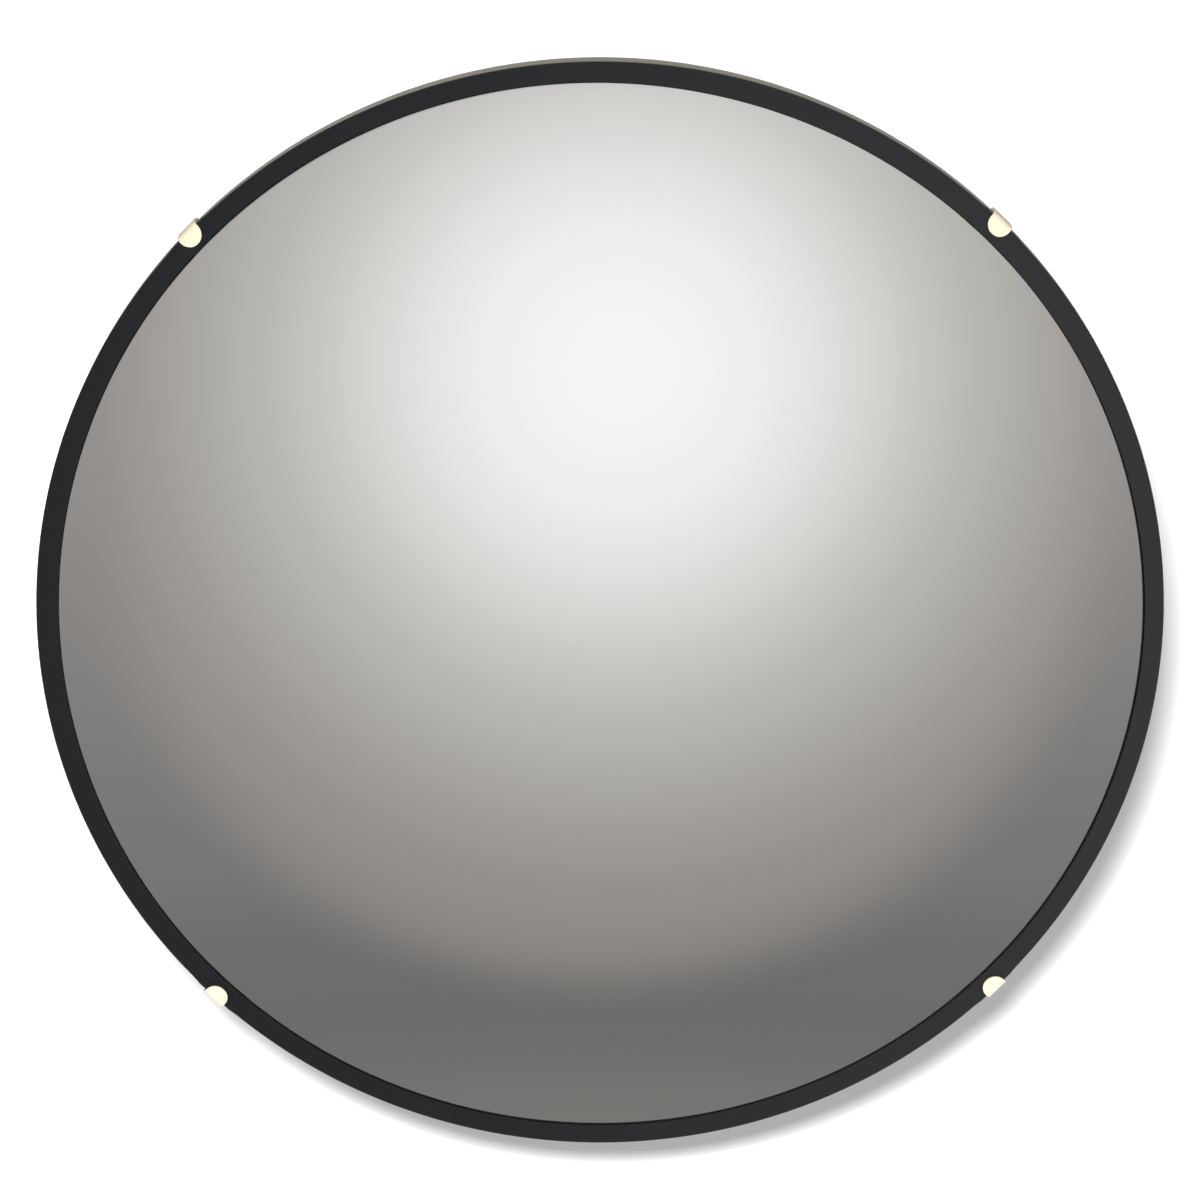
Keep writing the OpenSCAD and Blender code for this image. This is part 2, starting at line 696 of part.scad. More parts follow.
module fork_rivets() {
    color(steel) at_fork_rivets() flush_rivet(yoke_rivet_r, plate_t + fork_t);
}

// Flat plate screwed to the wall
module wall_plate() {
    color(zinc) difference() {
        at_reach(0) linear_extrude(plate_t) round_rect(plate_w, plate_h, plate_corner_r);
        for (x = [-1, 1], z = [-1, 1]) at_reach(-1) translate([x * hole_span_x / 2, z * hole_span_z / 2, 0])
            cylinder(r = screw_hole_r, h = plate_t + 2);
        at_fork_rivets() flush_rivet_hole(yoke_rivet_r, plate_t + fork_t);
    }
}

mirror_glass();
back_board();
edge_trim();
clip_upper_right();
clip_upper_left();
clip_lower_left();
clip_lower_right();
clip_rivets();
stiffening_plate();
mirror_bracket();
bracket_rivets();
tilt_sleeve();
front_yoke();
rear_yoke();
yoke_rivets();
tilt_bolt();
tilt_washers();
tilt_wing_nut();
swivel_bolt();
swivel_washers();
swivel_wing_nut();
swivel_sleeve();
inner_tube();
tube_glide();
outer_tube();
tube_collar();
weld_nut();
lock_knob();
lock_screw();
swing_bolt();
swing_washers();
swing_wing_nut();
swing_sleeve();
wall_fork();
fork_rivets();
wall_plate();
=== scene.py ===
"""Convex security mirror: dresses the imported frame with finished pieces, materials and a stage.

Metres, in the frame's own axes: the wall is y = 0, the mirror looks along -Y and +Z is up.
"""
import json
import math

import bmesh
import bpy
from bpy.props import FloatProperty, FloatVectorProperty, IntProperty, PointerProperty
from mathutils import Matrix, Vector


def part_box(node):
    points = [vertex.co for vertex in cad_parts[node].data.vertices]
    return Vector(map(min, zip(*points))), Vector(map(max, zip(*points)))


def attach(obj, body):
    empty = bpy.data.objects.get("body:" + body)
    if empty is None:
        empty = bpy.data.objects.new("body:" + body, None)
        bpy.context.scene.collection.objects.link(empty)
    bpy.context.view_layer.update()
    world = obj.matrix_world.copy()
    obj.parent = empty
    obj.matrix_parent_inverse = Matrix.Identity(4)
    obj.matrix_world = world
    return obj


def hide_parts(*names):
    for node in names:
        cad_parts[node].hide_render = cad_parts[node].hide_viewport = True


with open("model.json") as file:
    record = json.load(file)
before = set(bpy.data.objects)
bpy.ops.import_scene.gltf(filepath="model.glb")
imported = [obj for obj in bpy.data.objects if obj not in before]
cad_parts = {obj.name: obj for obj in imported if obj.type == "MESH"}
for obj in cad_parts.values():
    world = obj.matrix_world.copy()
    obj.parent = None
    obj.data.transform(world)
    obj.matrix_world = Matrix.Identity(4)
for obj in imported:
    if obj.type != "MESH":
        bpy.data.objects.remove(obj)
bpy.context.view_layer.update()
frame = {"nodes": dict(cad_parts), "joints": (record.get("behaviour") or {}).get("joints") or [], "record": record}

bl_info = {
    "name": "Convex Security Mirror",
    "version": (1, 0, 0),
    "blender": (4, 5, 0),
    "location": "View3D > Sidebar > Mirror",
    "description": "Builds the finished pieces, materials and stage of a convex security mirror",
    "category": "Add Mesh",
}

MM = 0.001

# ---------------------------------------------------------------- measures taken from the frame

RECORD = frame["record"]
BODY_OF = {node: body for body, nodes in RECORD["behaviour"]["bodies"].items() for node in nodes}
SLOT_OF = {part["node"]: part["material_slot"] for part in RECORD["subparts"]}
PIVOT = {joint["name"]: Vector(joint.get("pos_m", (0, 0, 0))) for joint in frame["joints"]}

BOARD_LOW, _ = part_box("back_board")
GLASS_LOW, GLASS_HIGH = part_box("mirror_glass")
TRIM_LOW, TRIM_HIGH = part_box("edge_trim")
BOARD_FRONT = -BOARD_LOW.y
MIRROR_R = GLASS_HIGH.x
CROWN_H = -GLASS_LOW.y - BOARD_FRONT
TRIM_R = TRIM_HIGH.x
TRIM_TIP_H = -TRIM_LOW.y - BOARD_FRONT
TRIM_BACK_H = -TRIM_HIGH.y - BOARD_FRONT
CLIPS = ("clip_upper_right", "clip_upper_left", "clip_lower_left", "clip_lower_right")

# Places: each maps a piece's own axes to the frame
MIRROR_FRONT = Matrix(((1, 0, 0, 0), (0, 0, -1, -BOARD_FRONT), (0, 1, 0, 0), (0, 0, 0, 1)))
UPRIGHT = Matrix.Identity(4)
SIDEWAYS = Matrix.Rotation(-math.pi / 2, 4, "Y")

MERGE_DISTANCE = 1e-6
FLAT_ANGLE = math.radians(0.5)
SHARP_ANGLE = math.radians(32)
BEVEL_ANGLE = math.radians(38)


def clip_angle(node):
    """Angle of a clip round the rim, from the right-hand side."""
    low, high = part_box(node)
    middle = (low + high) / 2
    return math.atan2(middle.z, middle.x)


CLIP_ANGLES = [clip_angle(node) for node in CLIPS]

# ---------------------------------------------------------------- small tools


def linear(code):
    """Linear colour of an sRGB hex code."""
    values = [int(code[i:i + 2], 16) / 255 for i in (1, 3, 5)]
    return [v / 12.92 if v <= 0.04045 else ((v + 0.055) / 1.055) ** 2.4 for v in values]


def opaque(colour):
    """Colour with a full alpha, for a node's socket."""
    return (*colour, 1.0)


def per(size_mm):
    """Texture scale that gives features of this size in millimetres."""
    return 1.0 / (size_mm * MM)


def add(tree, kind, settings, inputs):
    """Add a node, set its properties, and give each input a value or another node's output."""
    node = tree.nodes.new(kind)
    for name, value in settings.items():
        if name == "stops":
            elements = node.color_ramp.elements
            while len(elements) < len(value):
                elements.new(1.0)
            for element, (position, colour) in zip(elements, value):
                element.position = position
                element.color = opaque(colour)
        elif name == "blend":
            node.color_ramp.interpolation = value
        else:
            setattr(node, name, value)
    for key, value in inputs.items():
        if isinstance(value, bpy.types.NodeSocket):
            tree.links.new(value, node.inputs[key])
        else:
            node.inputs[key].default_value = value
    return node


def arc(centre_x, centre_y, radius, start, end, steps):
    """Points along an arc, with its angles in degrees."""
    angles = [math.radians(start + (end - start) * i / steps) for i in range(steps + 1)]
    return [(centre_x + radius * math.cos(a), centre_y + radius * math.sin(a)) for a in angles]


def show(mesh, name):
    """Put a mesh into the scene as an object."""
    piece = bpy.data.objects.new(name, mesh)
    bpy.context.scene.collection.objects.link(piece)
    return piece


def smooth(mesh):
    """Shade a mesh smooth, with its hard corners kept."""
    mesh.polygons.foreach_set("use_smooth", [True] * len(mesh.polygons))
    mesh.set_sharp_from_angle(angle=SHARP_ANGLE)


def to_mesh(shape, name, place):
    """Close a bmesh up, set it in its place and turn it into a smooth mesh."""
    bmesh.ops.remove_doubles(shape, verts=shape.verts, dist=MERGE_DISTANCE)
    bmesh.ops.transform(shape, matrix=place, verts=shape.verts)
    bmesh.ops.recalc_face_normals(shape, faces=shape.faces)
    mesh = bpy.data.meshes.new(name)
    shape.to_mesh(mesh)
    shape.free()
    smooth(mesh)
    return mesh


def turned(name, section, segments, place, ring=False):
    """Turn a section round the place's z axis. section(angle) gives its (radius, height) points.

    A ring's section is a closed loop; any other section starts and ends on the axis.
    """
    shape = bmesh.new()
    columns = []
    for i in range(segments):
        angle = math.tau * i / segments
        outward = Vector((math.cos(angle), math.sin(angle), 0))
        up = Vector((0, 0, 1))
        columns.append([shape.verts.new(outward * r + up * h) for r, h in section(angle)])
    spans = len(columns[0]) if ring else len(columns[0]) - 1
    for i, column in enumerate(columns):
        beside = columns[(i + 1) % segments]
        for j in range(spans):
            k = (j + 1) % len(column)
            shape.faces.new((column[j], beside[j], beside[k], column[k]))
    return to_mesh(shape, name, place)


def settle(piece):
    """Turn a piece and its modifiers into one plain mesh."""
    bpy.context.view_layer.update()
    evaluated = piece.evaluated_get(bpy.context.evaluated_depsgraph_get())
    mesh = bpy.data.meshes.new_from_object(evaluated)
    piece.modifiers.clear()
    piece.data = mesh
    return piece


def hand_over(piece, node, material):
    """Give a finished piece its material, and let it stand for its CAD solid and move with its body."""
    piece.data.materials.clear()
    piece.data.materials.append(material)
    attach(piece, BODY_OF[node])
    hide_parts(node)


def joined_copy(node):
    """Copy of a CAD solid's mesh with its triangles joined up into whole faces."""
    shape = bmesh.new()
    shape.from_mesh(frame["nodes"][node].data)
    bmesh.ops.remove_doubles(shape, verts=shape.verts, dist=MERGE_DISTANCE)
    bmesh.ops.dissolve_limit(shape, angle_limit=FLAT_ANGLE, verts=shape.verts, edges=shape.edges)
    mesh = bpy.data.meshes.new(node + "_finished")
    shape.to_mesh(mesh)
    shape.free()
    return show(mesh, node + "_finished")


def eased_copy(node, edge, steps=2):
    """Copy of a CAD solid whose sharp edges are eased, as tumbled or moulded ones are."""
    piece = joined_copy(node)
    smooth(piece.data)
    bevel = piece.modifiers.new("eased_edges", "BEVEL")
    bevel.width = edge
    bevel.segments = steps
    bevel.limit_method = "ANGLE"
    bevel.angle_limit = BEVEL_ANGLE
    bevel.harden_normals = False
    flat = piece.modifiers.new("flat_faces", "WEIGHTED_NORMAL")
    flat.keep_sharp = False
    settle(piece)
    return piece


def ease(nodes, edge, steps=2):
    """Finish the pieces whose edges only need easing."""
    for node in nodes:
        hand_over(eased_copy(node, edge, steps), node, material_for(node))


def cast_copy(node, grain, passes):
    """Copy of a CAD solid with the soft corners and fillets of a casting."""
    piece = joined_copy(node)
    remesh = piece.modifiers.new("cast_skin", "REMESH")
    remesh.mode = "VOXEL"
    remesh.voxel_size = grain
    remesh.use_smooth_shade = True
    soften = piece.modifiers.new("soft_corners", "SMOOTH")
    soften.iterations = passes
    soften.factor = 0.5
    return settle(piece)


# ---------------------------------------------------------------- materials


def started(name, plain):
    """A new material: its node tree, its shader with its plain values set, and its object coordinates."""
    material = bpy.data.materials.new(name)
    material.use_nodes = True
    tree = material.node_tree
    shader = tree.nodes["Principled BSDF"]
    for label, value in plain.items():
        shader.inputs[label].default_value = value
    place = add(tree, "ShaderNodeTexCoord", {}, {}).outputs["Object"]
    return material, tree, shader, place


def silvered_glass(settings):
    """Silvered float glass, slumped over a mould: a clean, neutral mirror under a polished face."""
    material, tree, shader, place = started("Silvered float glass", {"Metallic": 1.0, "Roughness": 0.02})
    # Painted shade and reflection of the rubber lip: the silver is painted a faint dark violet over the last few
    # millimetres before the rim
    across = add(tree, "ShaderNodeVectorMath", {"operation": "MULTIPLY"}, {0: place, 1: (1, 0, 1)})
    radius = add(tree, "ShaderNodeVectorMath", {"operation": "LENGTH"}, {0: across.outputs[0]})
    rim = add(tree, "ShaderNodeMapRange", {"interpolation_type": "SMOOTHSTEP"}, {
        "Value": radius.outputs["Value"], "From Min": settings.lip_shade_start,
        "From Max": settings.lip_shade_end})
    tint = add(tree, "ShaderNodeMix", {"data_type": "RGBA"}, {
        "Factor": rim.outputs[0], "A": opaque(settings.silver), "B": opaque(settings.painted_lip_shade)})
    tree.links.new(tint.outputs["Result"], shader.inputs["Base Color"])
    # Slumping leaves slow waves, hundredths of a millimetre high, that bend a reflection very slightly
    wave = add(tree, "ShaderNodeTexNoise", {}, {"Vector": place, "Scale": per(60), "Detail": 1.0})
    bump = add(tree, "ShaderNodeBump", {}, {
        "Strength": 0.15, "Distance": 0.02 * MM, "Height": wave.outputs[0]})
    tree.links.new(bump.outputs[0], shader.inputs["Normal"])
    return material


def mirror_backing(settings):
    """Grey protective paint, sprayed over the silvering on the hollow side: dull and slightly pebbled."""
    material, tree, shader, place = started("Mirror backing paint", {"Roughness": 0.6})
    pebble = add(tree, "ShaderNodeTexNoise", {}, {"Vector": place, "Scale": per(1.5), "Detail": 3.0})
    shade = add(tree, "ShaderNodeMix", {"data_type": "RGBA"}, {
        "Factor": pebble.outputs[0], "A": opaque(linear("#6d6f73")), "B": opaque(linear("#85878b"))})
    tree.links.new(shade.outputs["Result"], shader.inputs["Base Color"])
    bump = add(tree, "ShaderNodeBump", {}, {
        "Strength": 0.4, "Distance": 0.1 * MM, "Height": pebble.outputs[0]})
    tree.links.new(bump.outputs[0], shader.inputs["Normal"])
    return material


def extruded_rubber(settings):
    """Extruded EPDM rubber: near black, a soft low gloss, faint die lines along it and specks of lint."""
    material, tree, shader, place = started("Extruded EPDM rubber", {
        "Specular IOR Level": 0.3, "Sheen Weight": 0.04})
    cloud = add(tree, "ShaderNodeTexNoise", {}, {"Vector": place, "Scale": per(35), "Detail": 4.0})
    # Painted light: the rubber is painted lighter towards its right-hand side, standing in for more light falling
    # there
    painted_lit_side = add(tree, "ShaderNodeVectorMath", {"operation": "DOT_PRODUCT"}, {
        0: place, 1: (0.3 / TRIM_R, 0, 0)})
    tone = add(tree, "ShaderNodeMath", {"operation": "MULTIPLY_ADD", "use_clamp": True}, {
        0: cloud.outputs[0], 1: 0.2, 2: painted_lit_side.outputs["Value"]})
    bare = add(tree, "ShaderNodeMix", {"data_type": "RGBA"}, {
        "Factor": tone.outputs[0], "A": opaque(settings.rubber_dark_and_shaded_side), "B": opaque(settings.rubber_light_and_lit_side)})
    # Dust and painted light from above: the outside of the trim is painted a paler brownish grey on the stretch
    # that faces up
    across = add(tree, "ShaderNodeVectorMath", {"operation": "MULTIPLY"}, {0: place, 1: (1, 0, 1)})
    radius = add(tree, "ShaderNodeVectorMath", {"operation": "LENGTH"}, {0: across.outputs[0]})
    facing = add(tree, "ShaderNodeTexCoord", {}, {}).outputs["Normal"]
    upward = add(tree, "ShaderNodeSeparateXYZ", {}, {0: facing}).outputs[2]
    outside = add(tree, "ShaderNodeMapRange", {}, {
        "Value": radius.outputs["Value"], "From Min": TRIM_R - 2 * MM, "From Max": TRIM_R - 1 * MM,
        "To Max": 0.5})
    dust_and_top_light = add(tree, "ShaderNodeMapRange", {"interpolation_type": "SMOOTHSTEP"}, {
        "Value": upward, "From Min": 0.5, "From Max": 0.9, "To Max": outside.outputs[0]})
    shade = add(tree, "ShaderNodeMix", {"data_type": "RGBA"}, {
        "Factor": dust_and_top_light.outputs[0], "A": bare.outputs["Result"], "B": opaque(settings.dust_and_top_light)})
    # Lint: specks about 0.5 mm across, a few to each hand's width of the trim
    speck = add(tree, "ShaderNodeTexVoronoi", {}, {"Vector": place, "Scale": per(26)})
    speck_size = add(tree, "ShaderNodeMapRange", {}, {
        "Value": speck.outputs["Distance"], "From Min": 0.012, "From Max": 0.022, "To Min": 0.35,
        "To Max": 0.0})
    dusty = add(tree, "ShaderNodeMix", {"data_type": "RGBA"}, {
        "Factor": speck_size.outputs[0], "A": shade.outputs["Result"], "B": opaque(linear("#7c8084"))})
    tree.links.new(dusty.outputs["Result"], shader.inputs["Base Color"])
    # Die lines run round the rim, 0.8 mm apart, from the distance to the mirror's axis
    line = add(tree, "ShaderNodeMath", {"operation": "MULTIPLY"}, {
        0: radius.outputs["Value"], 1: math.tau * per(0.8)})
    ridge = add(tree, "ShaderNodeMath", {"operation": "SINE"}, {0: line.outputs[0]})
    grain = add(tree, "ShaderNodeTexNoise", {}, {"Vector": place, "Scale": per(0.6), "Detail": 2.0})
    relief = add(tree, "ShaderNodeMath", {"operation": "MULTIPLY_ADD"}, {
        0: ridge.outputs[0], 1: 0.15, 2: grain.outputs[0]})
    bump = add(tree, "ShaderNodeBump", {}, {
        "Strength": 0.35, "Distance": 0.05 * MM, "Height": relief.outputs[0]})
    tree.links.new(bump.outputs[0], shader.inputs["Normal"])
    gloss = add(tree, "ShaderNodeMapRange", {}, {"Value": cloud.outputs[0], "To Min": 0.42, "To Max": 0.6})
    tree.links.new(gloss.outputs[0], shader.inputs["Roughness"])
    return material


def ivory_enamel(settings):
    """Ivory stove enamel on bent steel strap: a smooth cream coat with a slight orange peel."""
    material, tree, shader, place = started("Ivory stove enamel", {"Roughness": 0.35, "Coat Weight": 0.3})
    peel = add(tree, "ShaderNodeTexNoise", {}, {"Vector": place, "Scale": per(1.2), "Detail": 2.0})
    cloud = add(tree, "ShaderNodeTexNoise", {}, {"Vector": place, "Scale": per(9), "Detail": 3.0})
    shade = add(tree, "ShaderNodeMix", {"data_type": "RGBA"}, {
        "Factor": cloud.outputs[0], "A": opaque(settings.enamel), "B": opaque(settings.enamel_light)})
    tree.links.new(shade.outputs["Result"], shader.inputs["Base Color"])
    bump = add(tree, "ShaderNodeBump", {}, {
        "Strength": 0.3, "Distance": 0.04 * MM, "Height": peel.outputs[0]})
    tree.links.new(bump.outputs[0], shader.inputs["Normal"])
    return material


def zinc_metal(name, settings, crystal_mm, rough):
    """Zinc-coated steel: grey crystals that catch the light differently, over a fine rolled grain."""
    material, tree, shader, place = started(name, {"Metallic": 1.0})
    wander = add(tree, "ShaderNodeTexNoise", {}, {
        "Vector": place, "Scale": per(crystal_mm * 2), "Detail": 3.0})
    bent = add(tree, "ShaderNodeVectorMath", {"operation": "MULTIPLY_ADD"}, {
        0: wander.outputs["Color"], 1: (crystal_mm * MM,) * 3, 2: place})
    crystal = add(tree, "ShaderNodeTexVoronoi", {}, {"Vector": bent.outputs[0], "Scale": per(crystal_mm)})
    tone = add(tree, "ShaderNodeSeparateColor", {}, {"Color": crystal.outputs["Color"]})
    grain = add(tree, "ShaderNodeTexNoise", {}, {"Vector": place, "Scale": per(0.5), "Detail": 3.0})
    mixed = add(tree, "ShaderNodeMath", {"operation": "MULTIPLY_ADD"}, {
        0: grain.outputs[0], 1: 0.35, 2: tone.outputs[0]})
    shade = add(tree, "ShaderNodeMix", {"data_type": "RGBA"}, {
        "Factor": mixed.outputs[0], "A": opaque(settings.zinc_dark), "B": opaque(settings.zinc_light)})
    tree.links.new(shade.outputs["Result"], shader.inputs["Base Color"])
    gloss = add(tree, "ShaderNodeMapRange", {}, {
        "Value": tone.outputs[1], "To Min": rough - 0.07, "To Max": rough + 0.09})
    tree.links.new(gloss.outputs[0], shader.inputs["Roughness"])
    bump = add(tree, "ShaderNodeBump", {}, {
        "Strength": 0.25, "Distance": 0.03 * MM, "Height": grain.outputs[0]})
    tree.links.new(bump.outputs[0], shader.inputs["Normal"])
    return material


def galvanised_steel(settings):
    """Hot-dip galvanised steel: spangle 5 mm across, satin."""
    return zinc_metal("Galvanised steel", settings, crystal_mm=5, rough=0.42)


def zinc_plate(settings):
    """Electroplated zinc on fasteners: an even, brighter coat with a slight mottle."""
    return zinc_metal("Bright zinc plate", settings, crystal_mm=1.4, rough=0.3)


def rivet_aluminium(settings):
    """Upset aluminium rivet: pale, satin, with fine circular tool marks."""
    material, tree, shader, place = started("Upset aluminium", {"Metallic": 1.0, "Roughness": 0.38})
    mark = add(tree, "ShaderNodeTexNoise", {}, {"Vector": place, "Scale": per(0.7), "Detail": 4.0})
    shade = add(tree, "ShaderNodeMix", {"data_type": "RGBA"}, {
        "Factor": mark.outputs[0], "A": opaque(linear("#b9babb")), "B": opaque(linear("#dcdddd"))})
    tree.links.new(shade.outputs["Result"], shader.inputs["Base Color"])
    bump = add(tree, "ShaderNodeBump", {}, {
        "Strength": 0.3, "Distance": 0.04 * MM, "Height": mark.outputs[0]})
    tree.links.new(bump.outputs[0], shader.inputs["Normal"])
    return material


def hardboard(settings):
    """Tempered hardboard, screen side out: dark brown fibre with the press screen's fine waffle."""
    material, tree, shader, place = started("Tempered hardboard", {"Roughness": 0.62})
    fibre = add(tree, "ShaderNodeTexNoise", {}, {
        "Vector": place, "Scale": per(2.2), "Detail": 6.0, "Roughness": 0.7, "Distortion": 1.5})
    blotch = add(tree, "ShaderNodeTexNoise", {}, {"Vector": place, "Scale": per(45), "Detail": 3.0})
    tone = add(tree, "ShaderNodeMath", {"operation": "MULTIPLY_ADD"}, {
        0: blotch.outputs[0], 1: 0.2, 2: fibre.outputs[0]})
    shade = add(tree, "ShaderNodeValToRGB", {"stops": [
        (0.38, settings.board_dark), (0.6, settings.board), (0.82, settings.board_light)]},
        {"Fac": tone.outputs[0]})
    tree.links.new(shade.outputs["Color"], shader.inputs["Base Color"])
    # The press screen's wires are 2 mm apart, which is as coarse as such screens come
    waves = add(tree, "ShaderNodeVectorMath", {"operation": "SCALE"}, {0: place, "Scale": math.tau * per(2)})
    weave = add(tree, "ShaderNodeVectorMath", {"operation": "SINE"}, {0: waves.outputs[0]})
    wires = add(tree, "ShaderNodeSeparateXYZ", {}, {0: weave.outputs[0]})
    waffle = add(tree, "ShaderNodeMath", {"operation": "MULTIPLY"}, {
        0: wires.outputs[0], 1: wires.outputs[2]})
    relief = add(tree, "ShaderNodeMath", {"operation": "MULTIPLY_ADD"}, {
        0: waffle.outputs[0], 1: 0.5, 2: fibre.outputs[0]})
    bump = add(tree, "ShaderNodeBump", {}, {
        "Strength": 0.6, "Distance": 0.2 * MM, "Height": relief.outputs[0]})
    tree.links.new(bump.outputs[0], shader.inputs["Normal"])
    return material


def nylon(settings):
    """Moulded natural nylon: off-white, waxy, slightly see-through."""
    material, tree, shader, place = started("Natural nylon", {
        "Roughness": 0.45, "IOR": 1.53, "Subsurface Weight": 0.15, "Subsurface Scale": 1.5 * MM})
    cloud = add(tree, "ShaderNodeTexNoise", {}, {"Vector": place, "Scale": per(5), "Detail": 2.0})
    shade = add(tree, "ShaderNodeMix", {"data_type": "RGBA"}, {
        "Factor": cloud.outputs[0], "A": opaque(linear("#e2ded0")), "B": opaque(linear("#efece2"))})
    tree.links.new(shade.outputs["Result"], shader.inputs["Base Color"])
    return material


def moulded_plastic(settings):
    """Moulded black polypropylene: satin, with the fine spark-eroded texture of the mould."""
    material, tree, shader, place = started("Moulded polypropylene", {"Roughness": 0.42, "IOR": 1.49})
    spark = add(tree, "ShaderNodeTexNoise", {}, {"Vector": place, "Scale": per(0.45), "Detail": 2.0})
    shade = add(tree, "ShaderNodeMix", {"data_type": "RGBA"}, {
        "Factor": spark.outputs[0], "A": opaque(linear("#1b1c1e")), "B": opaque(linear("#27282a"))})
    tree.links.new(shade.outputs["Result"], shader.inputs["Base Color"])
    bump = add(tree, "ShaderNodeBump", {}, {
        "Strength": 0.4, "Distance": 0.05 * MM, "Height": spark.outputs[0]})
    tree.links.new(bump.outputs[0], shader.inputs["Normal"])
    return material


def paper_floor(settings):
    """Matt white background paper: even and very slightly fibrous."""
    material, tree, shader, place = started("White background paper", {
        "Roughness": 0.9, "Specular IOR Level": 0.0})
    fibre = add(tree, "ShaderNodeTexNoise", {}, {"Vector": place, "Scale": per(3), "Detail": 3.0})
    shade = add(tree, "ShaderNodeMix", {"data_type": "RGBA"}, {
        "Factor": fibre.outputs[0], "A": opaque((settings.floor_white * 0.995,) * 3),
        "B": opaque((settings.floor_white,) * 3)})
    tree.links.new(shade.outputs["Result"], shader.inputs["Base Color"])
    return material


def material_for(node):
    """The material of a CAD solid's slot, made the first time it is asked for."""
    slot = SLOT_OF[node]
    if slot not in MATERIALS:
        MATERIALS[slot] = FINISHES[slot](bpy.context.scene.mirror_finish)
    return MATERIALS[slot]


FINISHES = {
    "silvered_glass": silvered_glass,
    "hardboard": hardboard,
    "edge_rubber": extruded_rubber,
    "clip_steel": ivory_enamel,
    "rivet_aluminium": rivet_aluminium,
    "galvanised_steel": galvanised_steel,
    "zinc_fastener": zinc_plate,
    "nylon": nylon,
    "black_plastic": moulded_plastic,
}
MATERIALS = {}

# ---------------------------------------------------------------- node trees for what repeats


def new_tree(name, sizes):
    """A geometry node tree with named inputs; sizes gives each one's name and socket kind."""
    tree = bpy.data.node_groups.new(name, "GeometryNodeTree")
    tree.interface.new_socket("Geometry", in_out="INPUT", socket_type="NodeSocketGeometry")
    for label, kind in sizes:
        tree.interface.new_socket(label, in_out="INPUT", socket_type="NodeSocket" + kind)
    tree.interface.new_socket("Geometry", in_out="OUTPUT", socket_type="NodeSocketGeometry")
    given = add(tree, "NodeGroupInput", {}, {}).outputs
    return tree, given


def end_tree(tree, geometry, material):
    """Realize a tree's instances, set their material and pass them out."""
    real = add(tree, "GeometryNodeRealizeInstances", {}, {"Geometry": geometry})
    painted = add(tree, "GeometryNodeSetMaterial", {}, {"Geometry": real.outputs[0], "Material": material})
    add(tree, "NodeGroupOutput", {}, {"Geometry": painted.outputs[0]})
    return tree


